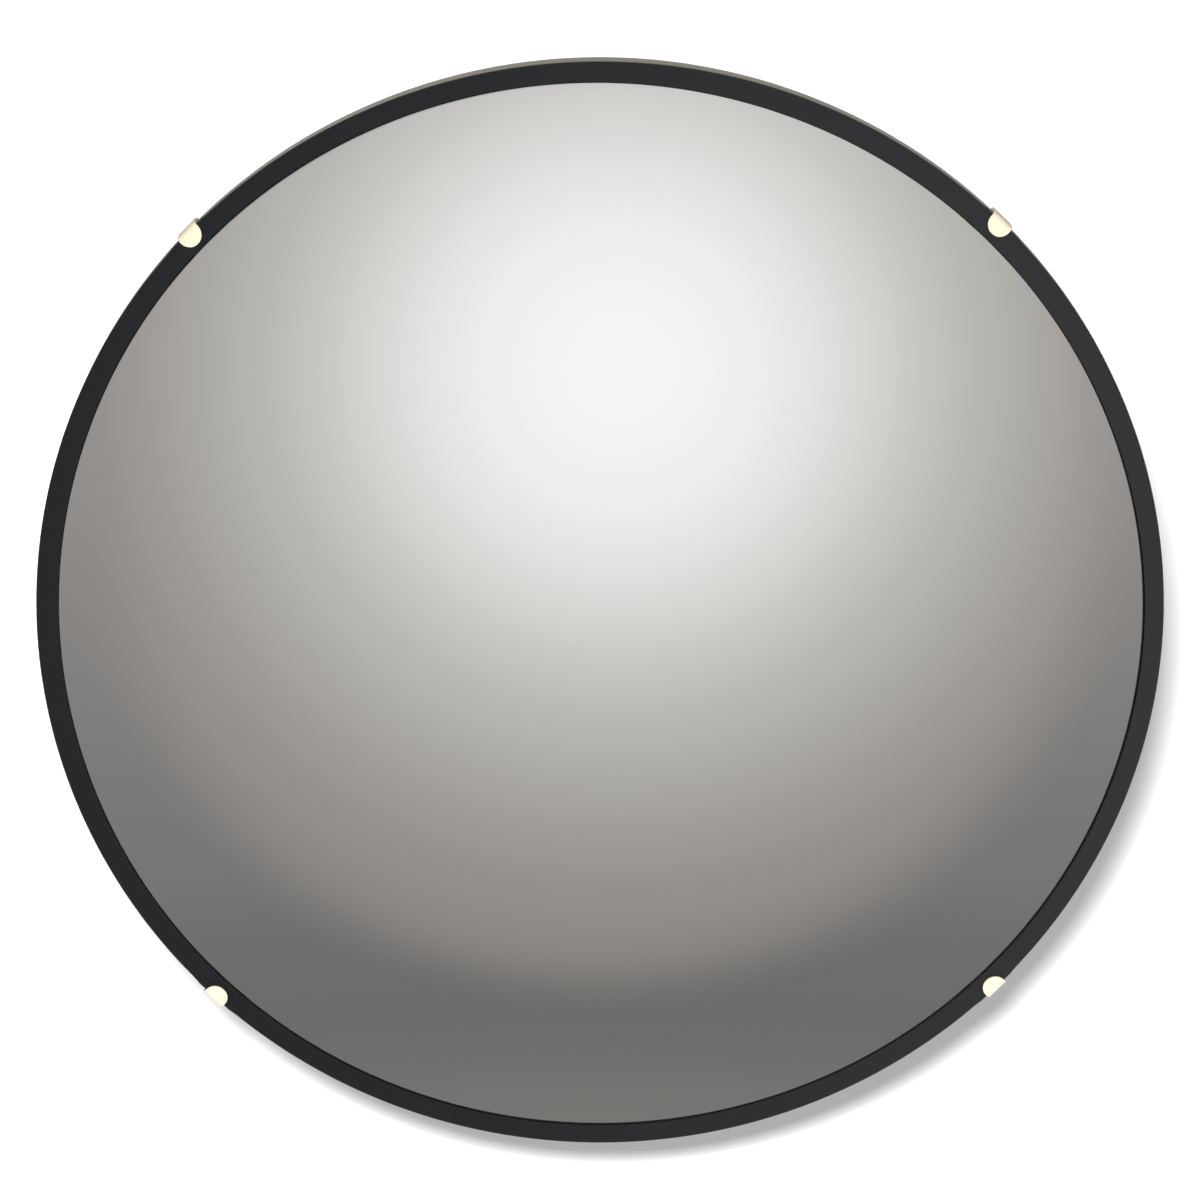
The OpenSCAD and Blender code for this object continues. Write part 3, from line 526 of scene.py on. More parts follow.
def rivet_tree():
    """Rivets on a mesh's points: a domed head above, a shank, and a spread or countersunk tail below."""
    tree, given = new_tree("rivets", [
        ("Head Radius", "Float"), ("Head Height", "Float"), ("Shank Radius", "Float"), ("Grip", "Float"),
        ("Tail Radius", "Float"), ("Tail Height", "Float"), ("Countersunk", "Bool"), ("Turn", "Vector"),
        ("Material", "Material")])
    ball = add(tree, "GeometryNodeMeshUVSphere", {}, {"Segments": 36, "Rings": 20, "Radius": 1.0})
    at = add(tree, "GeometryNodeInputPosition", {}, {}).outputs[0]
    xyz = add(tree, "ShaderNodeSeparateXYZ", {}, {0: at})
    # Head: the ball's upper half, squashed to the head's height and closed by its flattened lower half
    over = add(tree, "ShaderNodeMath", {"operation": "MAXIMUM"}, {0: xyz.outputs[2], 1: 0.0})
    halved = add(tree, "ShaderNodeCombineXYZ", {}, {0: xyz.outputs[0], 1: xyz.outputs[1], 2: over.outputs[0]})
    head_size = add(tree, "ShaderNodeCombineXYZ", {}, {
        0: given["Head Radius"], 1: given["Head Radius"], 2: given["Head Height"]})
    head_at = add(tree, "ShaderNodeVectorMath", {"operation": "MULTIPLY"}, {
        0: halved.outputs[0], 1: head_size.outputs[0]})
    head = add(tree, "GeometryNodeSetPosition", {}, {
        "Geometry": ball.outputs[0], "Position": head_at.outputs[0]})
    # Spread tail: the ball's lower half, squashed and moved to the far side of the grip
    below = add(tree, "ShaderNodeMath", {"operation": "MINIMUM"}, {0: xyz.outputs[2], 1: 0.0})
    under = add(tree, "ShaderNodeCombineXYZ", {}, {0: xyz.outputs[0], 1: xyz.outputs[1], 2: below.outputs[0]})
    tail_size = add(tree, "ShaderNodeCombineXYZ", {}, {
        0: given["Tail Radius"], 1: given["Tail Radius"], 2: given["Tail Height"]})
    far = add(tree, "ShaderNodeMath", {"operation": "MULTIPLY"}, {0: given["Grip"], 1: -1.0})
    drop = add(tree, "ShaderNodeCombineXYZ", {}, {0: 0.0, 1: 0.0, 2: far.outputs[0]})
    tail_at = add(tree, "ShaderNodeVectorMath", {"operation": "MULTIPLY_ADD"}, {
        0: under.outputs[0], 1: tail_size.outputs[0], 2: drop.outputs[0]})
    spread = add(tree, "GeometryNodeSetPosition", {}, {
        "Geometry": ball.outputs[0], "Position": tail_at.outputs[0]})
    # Countersunk tail: a cone that fills the sheet's countersink, flush with its far side
    cone = add(tree, "GeometryNodeMeshCone", {}, {
        "Vertices": 36, "Radius Top": given["Shank Radius"], "Radius Bottom": given["Tail Radius"],
        "Depth": given["Tail Height"]})
    sunk = add(tree, "GeometryNodeTransform", {}, {
        "Geometry": cone.outputs[0], "Translation": drop.outputs[0]})
    tail = add(tree, "GeometryNodeSwitch", {"input_type": "GEOMETRY"}, {
        "Switch": given["Countersunk"], "False": spread.outputs[0], "True": sunk.outputs[0]})
    # The shank runs from inside the head to inside the tail, which lies above or below the grip's far side
    reach = add(tree, "GeometryNodeSwitch", {"input_type": "FLOAT"}, {
        "Switch": given["Countersunk"], "False": 1.03, "True": 0.95})
    length = add(tree, "ShaderNodeMath", {"operation": "MULTIPLY_ADD"}, {
        0: given["Grip"], 1: reach.outputs[0], 2: 0.2 * MM})
    shank = add(tree, "GeometryNodeMeshCylinder", {}, {
        "Vertices": 36, "Radius": given["Shank Radius"], "Depth": length.outputs[0]})
    sink = add(tree, "ShaderNodeMath", {"operation": "MULTIPLY_ADD"}, {
        0: length.outputs[0], 1: -0.5, 2: 0.2 * MM})
    half = add(tree, "ShaderNodeCombineXYZ", {}, {0: 0.0, 1: 0.0, 2: sink.outputs[0]})
    stem = add(tree, "GeometryNodeTransform", {}, {
        "Geometry": shank.outputs[0], "Translation": half.outputs[0]})
    whole = add(tree, "GeometryNodeJoinGeometry", {}, {})
    for part in (head, tail, stem):
        tree.links.new(part.outputs[0], whole.inputs[0])
    many = add(tree, "GeometryNodeInstanceOnPoints", {}, {
        "Points": given["Geometry"], "Instance": whole.outputs[0], "Rotation": given["Turn"]})
    return end_tree(tree, many.outputs[0], given["Material"])


def washer_tree():
    """Stamped flat washers on a mesh's points, with one rolled edge."""
    tree, given = new_tree("washers", [
        ("Outer Radius", "Float"), ("Bore Radius", "Float"), ("Thickness", "Float"), ("Turn", "Vector"),
        ("Material", "Material")])
    total = add(tree, "ShaderNodeMath", {"operation": "ADD"}, {
        0: given["Outer Radius"], 1: given["Bore Radius"]})
    middle = add(tree, "ShaderNodeMath", {"operation": "MULTIPLY"}, {0: total.outputs[0], 1: 0.5})
    width = add(tree, "ShaderNodeMath", {"operation": "SUBTRACT"}, {
        0: given["Outer Radius"], 1: given["Bore Radius"]})
    path = add(tree, "GeometryNodeCurvePrimitiveCircle", {}, {"Resolution": 64, "Radius": middle.outputs[0]})
    upright = add(tree, "GeometryNodeSetCurveNormal", {"mode": "Z_UP"}, {"Curve": path.outputs[0]})
    block = add(tree, "GeometryNodeCurvePrimitiveQuadrilateral", {}, {
        "Width": width.outputs[0], "Height": given["Thickness"]})
    rounding = add(tree, "ShaderNodeMath", {"operation": "MULTIPLY"}, {0: given["Thickness"], 1: 0.22})
    edge = add(tree, "GeometryNodeFilletCurve", {"mode": "POLY"}, {
        "Curve": block.outputs[0], "Radius": rounding.outputs[0], "Count": 2})
    ring = add(tree, "GeometryNodeCurveToMesh", {}, {
        "Curve": upright.outputs[0], "Profile Curve": edge.outputs[0]})
    many = add(tree, "GeometryNodeInstanceOnPoints", {}, {
        "Points": given["Geometry"], "Instance": ring.outputs[0], "Rotation": given["Turn"]})
    return end_tree(tree, many.outputs[0], given["Material"])


def thread_tree():
    """A rolled screw thread added to a bolt: a helix of V section along the stretch that starts at Place."""
    tree, given = new_tree("rolled_thread", [
        ("Crest Radius", "Float"), ("Pitch", "Float"), ("Length", "Float"), ("Place", "Vector"),
        ("Turn", "Vector"), ("Material", "Material")])
    turns = add(tree, "ShaderNodeMath", {"operation": "DIVIDE"}, {0: given["Length"], 1: given["Pitch"]})
    depth = add(tree, "ShaderNodeMath", {"operation": "MULTIPLY"}, {0: given["Pitch"], 1: 0.5})
    pitch_line = add(tree, "ShaderNodeMath", {"operation": "SUBTRACT"}, {
        0: given["Crest Radius"], 1: depth.outputs[0]})
    helix = add(tree, "GeometryNodeCurveSpiral", {}, {
        "Resolution": 28, "Rotations": turns.outputs[0], "Start Radius": pitch_line.outputs[0],
        "End Radius": pitch_line.outputs[0], "Height": given["Length"]})
    vee = add(tree, "GeometryNodeCurvePrimitiveCircle", {}, {"Resolution": 4, "Radius": depth.outputs[0]})
    ridge = add(tree, "GeometryNodeCurveToMesh", {}, {
        "Curve": helix.outputs[0], "Profile Curve": vee.outputs[0], "Fill Caps": True})
    set_out = add(tree, "GeometryNodeTransform", {}, {
        "Geometry": ridge.outputs[0], "Translation": given["Place"], "Rotation": given["Turn"]})
    whole = add(tree, "GeometryNodeJoinGeometry", {}, {})
    for part in (set_out.outputs[0], given["Geometry"]):
        tree.links.new(part, whole.inputs[0])
    return end_tree(tree, whole.outputs[0], given["Material"])


def bead_tree():
    """A run of weld round a nut: overlapping flattened drops along a hexagon, uneven by a fixed seed."""
    tree, given = new_tree("weld_bead", [
        ("Corner Radius", "Float"), ("Drop Size", "Float"), ("Place", "Vector"), ("Material", "Material")])
    path = add(tree, "GeometryNodeCurvePrimitiveCircle", {}, {
        "Resolution": 6, "Radius": given["Corner Radius"]})
    spots = add(tree, "GeometryNodeCurveToPoints", {"mode": "COUNT"}, {"Curve": path.outputs[0], "Count": 40})
    drop = add(tree, "GeometryNodeMeshIcoSphere", {}, {"Radius": given["Drop Size"], "Subdivisions": 2})
    uneven = add(tree, "FunctionNodeRandomValue", {"data_type": "FLOAT"}, {
        "Min": 0.75, "Max": 1.1, "Seed": 7})
    many = add(tree, "GeometryNodeInstanceOnPoints", {}, {
        "Points": spots.outputs[0], "Instance": drop.outputs[0], "Scale": uneven.outputs["Value"]})
    set_down = add(tree, "GeometryNodeTransform", {}, {
        "Geometry": many.outputs[0], "Translation": given["Place"]})
    whole = add(tree, "GeometryNodeJoinGeometry", {}, {})
    for part in (set_down.outputs[0], given["Geometry"]):
        tree.links.new(part, whole.inputs[0])
    return end_tree(tree, whole.outputs[0], given["Material"])


def grow(piece, tree, values):
    """Run a node tree on a piece, with each named input set by its socket's identifier, and settle it."""
    modifier = piece.modifiers.new(tree.name, "NODES")
    modifier.node_group = tree
    for item in tree.interface.items_tree:
        if item.in_out == "INPUT" and item.name in values:
            modifier[item.identifier] = values[item.name]
    settle(piece)
    smooth(piece.data)
    return piece


def points(name, places):
    """A mesh of loose points."""
    mesh = bpy.data.meshes.new(name)
    mesh.from_pydata(places, [], [])
    return show(mesh, name)


# ---------------------------------------------------------------- settings


def length_setting(name, description, default, **limits):
    """A setting that is a length."""
    return FloatProperty(name=name, description=description, default=default, unit="LENGTH", **limits)


def angle_setting(name, description, default):
    """A setting that is an angle."""
    return FloatProperty(name=name, description=description, default=default, unit="ROTATION")


def colour_setting(name, description, code):
    """A setting that is a colour, given as an sRGB hex code."""
    return FloatVectorProperty(name=name, description=description, subtype="COLOR", default=linear(code))


class MirrorShape(bpy.types.PropertyGroup):
    """Sizes of the glass and its rubber edge that the frame's boxes don't give"""

    dome_rise: length_setting(
        "Dome rise", "Rise of the glass face from its rim to its crown", 50 * MM, min=38 * MM, max=80 * MM)
    glass_thickness: length_setting("Glass thickness", "Thickness of the glass", 3 * MM)
    seat_width: length_setting("Seat width", "Width of the flat ground on the glass rim", 1.5 * MM)
    trim_front: length_setting("Front lip", "Width of the trim's front lip", 8.5 * MM)
    trim_back: length_setting("Back lip", "Width of the trim's back lip", 10 * MM)
    trim_tip: length_setting("Lip tip", "Thickness of the front lip at its tip", 1.1 * MM)
    trim_slope: angle_setting("Lip slope", "Slope of the front lip", math.radians(12))
    trim_corner: length_setting("Corner radius", "Radius of the trim's outside corners", 1.2 * MM)
    trim_gap: length_setting("Gap", "Gap between the trim and the glass", 0.1 * MM)
    clip_bulge: length_setting(
        "Clip bulge", "Height of the rubber that a clip squeezes up beside it", 0.35 * MM)
    segments: IntProperty(
        name="Segments", description="Steps round the glass and the trim", default=360, min=64, max=720)


class MirrorHardware(bpy.types.PropertyGroup):
    """Sizes of the fasteners and of the edges of metal and plastic parts"""

    sheet_edge: length_setting("Sheet edge", "Easing of a stamped part's edges", 0.35 * MM)
    tube_edge: length_setting("Tube edge", "Easing of a tube's sawn ends", 0.2 * MM)
    clip_edge: length_setting("Clip edge", "Easing of a clip's edges", 0.22 * MM)
    moulded_edge: length_setting("Moulded edge", "Radius on a moulding's edges", 0.4 * MM)
    bolt_radius: length_setting("Bolt radius", "Radius of the M6 bolts", 3 * MM)
    bolt_flats: length_setting(
        "Across flats", "Width across the flats of bolt heads and of the weld nut", 10 * MM)
    bolt_head: length_setting("Head height", "Height of a bolt head", 4 * MM)
    pitch: length_setting("Pitch", "Pitch of the M6 coarse thread", 1 * MM)
    thread_length: length_setting("Thread length", "Threaded stretch at the end of a bolt", 14 * MM)
    rivet_head: length_setting("Rivet head", "Height of a rivet's domed head", 1.6 * MM)
    cast_grain: length_setting("Casting grain", "Smallest detail of a cast wing nut", 0.3 * MM)


class MirrorFinish(bpy.types.PropertyGroup):
    """Colours of the materials"""

    silver: colour_setting("Silver", "Colour of the silvering", "#f7f7f6")
    # Painted shade and reflection of the rubber lip: the faint dark violet of the silver just inside the lip, and
    # where it starts and is full
    painted_lip_shade: colour_setting("Edge tint", "Colour of the silvering at the rim", "#a59fa8")
    lip_shade_start: length_setting(
        "Edge fade start", "Distance from the axis where the edge tint starts", 221.6 * MM)
    lip_shade_end: length_setting(
        "Edge fade end", "Distance from the axis where the edge tint is full", 223.4 * MM)
    # Rubber tones: a random cloud mixes between them, and the painted light of the right-hand side pushes towards
    # the lighter one
    rubber_dark_and_shaded_side: colour_setting("Rubber, dark", "Darker tone of the rubber", "#090b0d")
    rubber_light_and_lit_side: colour_setting("Rubber, light", "Lighter tone of the rubber", "#212122")
    # Dust and painted light from above: the paler brownish grey of the trim's upward-facing outside
    dust_and_top_light: colour_setting("Dust", "Colour of the dust on the trim's top", "#86806f")
    enamel: colour_setting("Enamel", "Colour of the clips", "#a19784")
    enamel_light: colour_setting("Enamel, light", "Lighter tone of the clips", "#ada28e")
    zinc_dark: colour_setting("Zinc, dark", "Darker crystals of a zinc coat", "#abafb2")
    zinc_light: colour_setting("Zinc, light", "Lighter crystals of a zinc coat", "#cbced0")
    board_dark: colour_setting("Board, dark", "Dark fibres of the hardboard", "#4a3223")
    board: colour_setting("Board", "Colour of the hardboard", "#6e4c33")
    board_light: colour_setting("Board, light", "Pale fibres of the hardboard", "#8e6a49")
    floor_white: FloatProperty(
        name="Floor white", description="Share of light that the floor gives back",
        default=0.63, min=0, max=1)


class MirrorStage(bpy.types.PropertyGroup):
    """Camera, lights and floor"""

    camera_rise: angle_setting(
        "Camera rise", "Camera's angle above the mirror's axis", math.radians(16.2))
    camera_distance: length_setting(
        "Camera distance", "Distance from the camera to the rim's middle", 1.846)
    aim_height: length_setting(
        "Aim height", "Height above the mirror's centre that the camera looks at", 7.5 * MM)
    lens: FloatProperty(
        name="Lens", description="Focal length", default=135, min=20, max=300, unit="CAMERA")
    floor_drop: length_setting(
        "Floor drop", "Height of the mirror's lowest point above the floor", 250 * MM)
    floor_size: length_setting("Floor size", "Side of the square floor", 14)
    sun_strength: FloatProperty(
        name="Main light", description="Strength of the main light, in front", default=5.0, min=0)
    sun_rise: angle_setting(
        "Main light rise", "Angle of the main light above the floor", math.radians(18.8))
    sun_side: angle_setting(
        "Main light side", "Angle of the main light to the left of the mirror's axis", math.radians(1.3))
    sun_spread: angle_setting("Main light spread", "Apparent width of the main light", math.radians(4.5))
    floor_power: FloatProperty(
        name="Floor light", description="Power of the lamp beside the camera that lights the floor",
        default=280, min=0)
    floor_lamp_size: length_setting("Floor light size", "Radius of the lamp beside the camera", 32 * MM)
    floor_lamp_up: length_setting("Floor light up", "Height of that lamp over the camera", 44 * MM)
    floor_lamp_left: length_setting(
        "Floor light left", "Distance of that lamp to the camera's left", 20 * MM)
    rear_strength: FloatProperty(
        name="Rear light", description="Strength of the high light behind", default=0.5, min=0)


# ---------------------------------------------------------------- operators


class MIRROR_OT_glass(bpy.types.Operator):
    """Make the silvered glass dome: two ball faces, a ground seat and a painted hollow side"""

    bl_idname = "mirror.glass"
    bl_label = "Glass dome"

    def execute(self, context):
        scene = context.scene
        shape = scene.mirror_shape
        ball_r = (MIRROR_R ** 2 + shape.dome_rise ** 2) / (2 * shape.dome_rise)
        centre_h = CROWN_H - ball_r
        hollow_r = ball_r - shape.glass_thickness
        seat_r = MIRROR_R - shape.seat_width
        rings = 72
        face = [(MIRROR_R * i / rings, centre_h + math.sqrt(ball_r ** 2 - (MIRROR_R * i / rings) ** 2))
                for i in range(rings + 1)]
        hollow = [(seat_r * i / rings, centre_h + math.sqrt(hollow_r ** 2 - (seat_r * i / rings) ** 2))
                  for i in range(rings, -1, -1)]
        section = face + [(MIRROR_R, 0.0)] + [(r, max(h, 0.0)) for r, h in hollow]
        mesh = turned("mirror_glass_finished", lambda angle: section, shape.segments // 2, MIRROR_FRONT)
        piece = show(mesh, "mirror_glass_finished")
        hand_over(piece, "mirror_glass", material_for("mirror_glass"))
        piece.data.materials.append(mirror_backing(scene.mirror_finish))
        middle = Vector((0, -BOARD_FRONT - centre_h, 0))
        hollow_limit = ball_r - shape.glass_thickness / 2
        for face in piece.data.polygons:
            face.material_index = int((face.center - middle).length < hollow_limit)
        return {"FINISHED"}


# The lip is stretched more in some places than in others: each wave's size in mm, how many waves go round,
# and the angle that the first one starts at
LIP_WANDER = ((0.26, 1, 0.98), (0.29, 2, -math.pi / 2), (0.44, 3, 0.0))


class MIRROR_OT_trim(bpy.types.Operator):
    """Make the rubber edge trim, a channel that bulges a little beside each clip"""

    bl_idname = "mirror.trim"
    bl_label = "Rubber edge trim"

    def execute(self, context):
        scene = context.scene
        shape = scene.mirror_shape
        clip_half = 5 * MM
        # Width of the rubber's swelling beside a clip
        swell = 2.6 * MM
        ball_r = (MIRROR_R ** 2 + shape.dome_rise ** 2) / (2 * shape.dome_rise)
        centre_h = CROWN_H - ball_r
        tip_r = TRIM_R - shape.trim_front
        corner = shape.trim_corner
        edge_h = TRIM_TIP_H - shape.trim_front * math.tan(shape.trim_slope)
        corner_h = edge_h - corner * (1 - math.sin(shape.trim_slope)) / math.cos(shape.trim_slope)
        lip_angle = 90 - math.degrees(shape.trim_slope)
        back_thickness = 1.4 * MM
        back_in = TRIM_BACK_H + back_thickness
        tip_half = shape.trim_tip / 2
        back_half = back_thickness / 2
        under_steps = 6
        # Step from the lip's rounded tip to its underside
        tip_step = 0.05 * MM

        def squeeze(angle):
            """Share of the clips' bulge at an angle round the rim"""
            total = 0.0
            for clip in CLIP_ANGLES:
                turn = (angle - clip + math.pi) % math.tau - math.pi
                beside = abs(turn) * TRIM_R - clip_half - swell
                total += math.exp(-(beside / swell) ** 2)
            return total

        def section(angle):
            bulge = shape.clip_bulge * squeeze(angle)
            tip = tip_r + sum(
                size * MM * math.cos(waves * angle - start) for size, waves, start in LIP_WANDER)
            inner_r = TRIM_R - shape.trim_back
            back = arc(inner_r + back_half, TRIM_BACK_H + back_half, back_half, 180, 270, 4)
            outer = arc(TRIM_R - corner, TRIM_BACK_H + corner, corner, 270, 360, 7)
            front = [(r + 0.7 * bulge, h + 0.8 * bulge)
                     for r, h in arc(TRIM_R - corner, corner_h, corner, 0, lip_angle, 8)]
            lip_top = TRIM_TIP_H - tip_half
            end = [(r, h + 0.3 * bulge) for r, h in arc(tip + tip_half, lip_top, tip_half, lip_angle, 180, 6)]
            middle = [((front[-1][0] * (3 - i) + end[0][0] * i) / 3,
                       (front[-1][1] * (3 - i) + end[0][1] * i) / 3 + bulge * math.sin(math.pi * i / 3))
                      for i in (1, 2)]
            first = tip + tip_step
            under = [first + (MIRROR_R - first) * i / under_steps for i in range(under_steps + 1)]
            on_glass = [(r, centre_h + math.sqrt(ball_r ** 2 - r ** 2) + shape.trim_gap) for r in under]
            groove_r = MIRROR_R + shape.trim_gap
            groove = [(groove_r, on_glass[-1][1] - shape.trim_gap), (groove_r, back_in), (inner_r, back_in)]
            return back + outer + front + middle + end + on_glass + groove

        mesh = turned("edge_trim_finished", section, 2 * shape.segments, MIRROR_FRONT, ring=True)
        hand_over(show(mesh, "edge_trim_finished"), "edge_trim", material_for("edge_trim"))
        return {"FINISHED"}


class MIRROR_OT_clips(bpy.types.Operator):
    """Make the four rim clips, bent from enamelled strap with eased edges"""

    bl_idname = "mirror.clips"
    bl_label = "Rim clips"

    def execute(self, context):
        ease(CLIPS, context.scene.mirror_hardware.clip_edge)
        return {"FINISHED"}


class MIRROR_OT_back(bpy.types.Operator):
    """Give the hardboard back and the stiffening plate inside it their materials"""

    bl_idname = "mirror.back"
    bl_label = "Back board and stiffening plate"

    def execute(self, context):
        sawn_edge = 0.3 * MM
        sheared_edge = 0.2 * MM
        ease(["back_board"], sawn_edge)
        ease(["stiffening_plate"], sheared_edge)
        return {"FINISHED"}


class MIRROR_OT_sheet(bpy.types.Operator):
    """Make the stamped sheet parts: wall plate, wall fork, two yokes and the mirror's bracket"""

    bl_idname = "mirror.sheet_parts"
    bl_label = "Stamped sheet parts"

    def execute(self, context):
        nodes = ("wall_plate", "wall_fork", "rear_yoke", "front_yoke", "mirror_bracket")
        ease(nodes, context.scene.mirror_hardware.sheet_edge)
        return {"FINISHED"}


class MIRROR_OT_tubes(bpy.types.Operator):
    """Make the two telescoping tubes and the spacer sleeves on the pivot bolts"""

    bl_idname = "mirror.tubes"
    bl_label = "Tubes and sleeves"

    def execute(self, context):
        nodes = ("outer_tube", "inner_tube", "tilt_sleeve", "swivel_sleeve", "swing_sleeve")
        ease(nodes, context.scene.mirror_hardware.tube_edge)
        return {"FINISHED"}


class MIRROR_OT_mouldings(bpy.types.Operator):
    """Make the moulded parts: the nylon glide and the collar on the outer tube"""

    bl_idname = "mirror.mouldings"
    bl_label = "Glide and collar"

    def execute(self, context):
        ease(("tube_glide", "tube_collar"), context.scene.mirror_hardware.moulded_edge, steps=3)
        return {"FINISHED"}


class MIRROR_OT_rivets(bpy.types.Operator):
    """Make the rivets of the clips, the bracket, the yokes and the wall fork"""

    bl_idname = "mirror.rivets"
    bl_label = "Rivets"

    def execute(self, context):
        scene = context.scene
        head_h = scene.mirror_hardware.rivet_head
        spread_tail_h = 1 * MM
        countersink_h = 1.4 * MM
        head_ratio = 1.8
        tree = rivet_tree()
        # Each group: its solid, how many rivets, shank radius, whether its tails are countersunk, head side
        for node, count, shank_r, sunk, to_wall in (
                ("clip_rivets", 4, 2 * MM, False, True),
                ("bracket_rivets", 4, 2.4 * MM, False, True),
                ("yoke_rivets", 2, 2.4 * MM, True, False),
                ("fork_rivets", 2, 2.4 * MM, True, False)):
            centres = islands(node)
            if len(centres) != count:
                raise RuntimeError(f"{node} has {len(centres)} rivets, not {count}")
            low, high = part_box(node)
            tail_h = 0.0 if sunk else spread_tail_h
            head_y = high.y - head_h if to_wall else low.y + head_h
            grip = high.y - low.y - head_h - tail_h
            spots = points(node + "_finished", [(c.x, head_y, c.z) for c in centres])
            grow(spots, tree, {
                "Head Radius": head_ratio * shank_r, "Head Height": head_h,
                "Shank Radius": shank_r, "Grip": grip,
                "Tail Radius": head_ratio * shank_r - (0.6 if sunk else 0.4) * MM,
                "Tail Height": countersink_h if sunk else tail_h, "Countersunk": sunk,
                "Turn": (math.radians(-90 if to_wall else 90), 0, 0), "Material": material_for(node)})
            hand_over(spots, node, material_for(node))
        return {"FINISHED"}


class MIRROR_OT_washers(bpy.types.Operator):
    """Make the flat washers on the three pivot bolts"""

    bl_idname = "mirror.washers"
    bl_label = "Washers"

    def execute(self, context):
        scene = context.scene
        tree = washer_tree()
        bore_r = scene.mirror_hardware.bolt_radius + 0.1 * MM
        thickness = 1.2 * MM
        for node in ("swing_washers", "swivel_washers", "tilt_washers"):
            centres = islands(node)
            low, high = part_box(node)
            sideways = node == "tilt_washers"
            size = high - low
            outer_r = size.y / 2
            spots = points(node + "_finished", [tuple(c) for c in centres])
            grow(spots, tree, {
                "Outer Radius": outer_r, "Bore Radius": bore_r, "Thickness": thickness,
                "Turn": (0, math.radians(90) if sideways else 0, 0),
                "Material": material_for(node)})
            hand_over(spots, node, material_for(node))
        return {"FINISHED"}


def hex_radius(angle, flats):
    """Distance from the axis to a hexagon's side at an angle"""
    sixth = math.pi / 3
    return flats / 2 / math.cos((angle % sixth) - sixth / 2)


class MIRROR_OT_bolts(bpy.types.Operator):
    """Make the three pivot bolts: chamfered hexagon heads, plain shanks and rolled threads"""

    bl_idname = "mirror.bolts"
    bl_label = "Pivot bolts"

    def execute(self, context):
        scene = context.scene
        hardware = scene.mirror_hardware
        tree = thread_tree()
        for node, place in (("swing_bolt", UPRIGHT), ("swivel_bolt", UPRIGHT), ("tilt_bolt", SIDEWAYS)):
            low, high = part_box(node)
            start, end = (low.z, high.z) if place == UPRIGHT else (-high.x, -low.x)
            pivot = PIVOT[node.removesuffix("_bolt")]
            at = Matrix.Translation(Vector((0, pivot.y, 0))) @ place
            r = hardware.bolt_radius
            top = start + hardware.bolt_head
            chamfer_r = 0.47 * hardware.bolt_flats
            face_r = 0.46 * hardware.bolt_flats
            eased = 0.3 * MM
            thread_start = end - hardware.thread_length
            root_r = r - 0.55 * hardware.pitch

            def section(angle):
                corner_r = hex_radius(angle, hardware.bolt_flats)
                slope = (corner_r - chamfer_r) * math.tan(math.radians(30))
                return [
                    (0, start + eased), (chamfer_r * 0.72, start + eased), (chamfer_r * 0.8, start),
                    (chamfer_r, start), (corner_r, start + slope), (corner_r, top - 0.4 * MM),
                    (corner_r - 0.15 * MM, top - 0.25 * MM), (face_r, top - 0.25 * MM),
                    (face_r, top), (r + eased, top), (r, top + eased),
                    (r, thread_start - 0.5 * MM), (root_r, thread_start), (root_r, end - eased),
                    (root_r - eased, end), (0, end)]

            piece = show(turned(node + "_finished", section, 96, at), node + "_finished")
            turn = at.to_euler()
            grow(piece, tree, {
                "Crest Radius": r, "Pitch": hardware.pitch, "Length": hardware.thread_length - 1 * MM,
                "Place": tuple(at @ Vector((0, 0, thread_start))), "Turn": tuple(turn),
                "Material": material_for(node)})
            hand_over(piece, node, material_for(node))
        return {"FINISHED"}


class MIRROR_OT_wing_nuts(bpy.types.Operator):
    """Make the three cast wing nuts"""

    bl_idname = "mirror.wing_nuts"
    bl_label = "Wing nuts"

    def execute(self, context):
        scene = context.scene
        for node in ("swing_wing_nut", "swivel_wing_nut", "tilt_wing_nut"):
            hand_over(cast_copy(node, scene.mirror_hardware.cast_grain, 8), node, material_for(node))
        return {"FINISHED"}


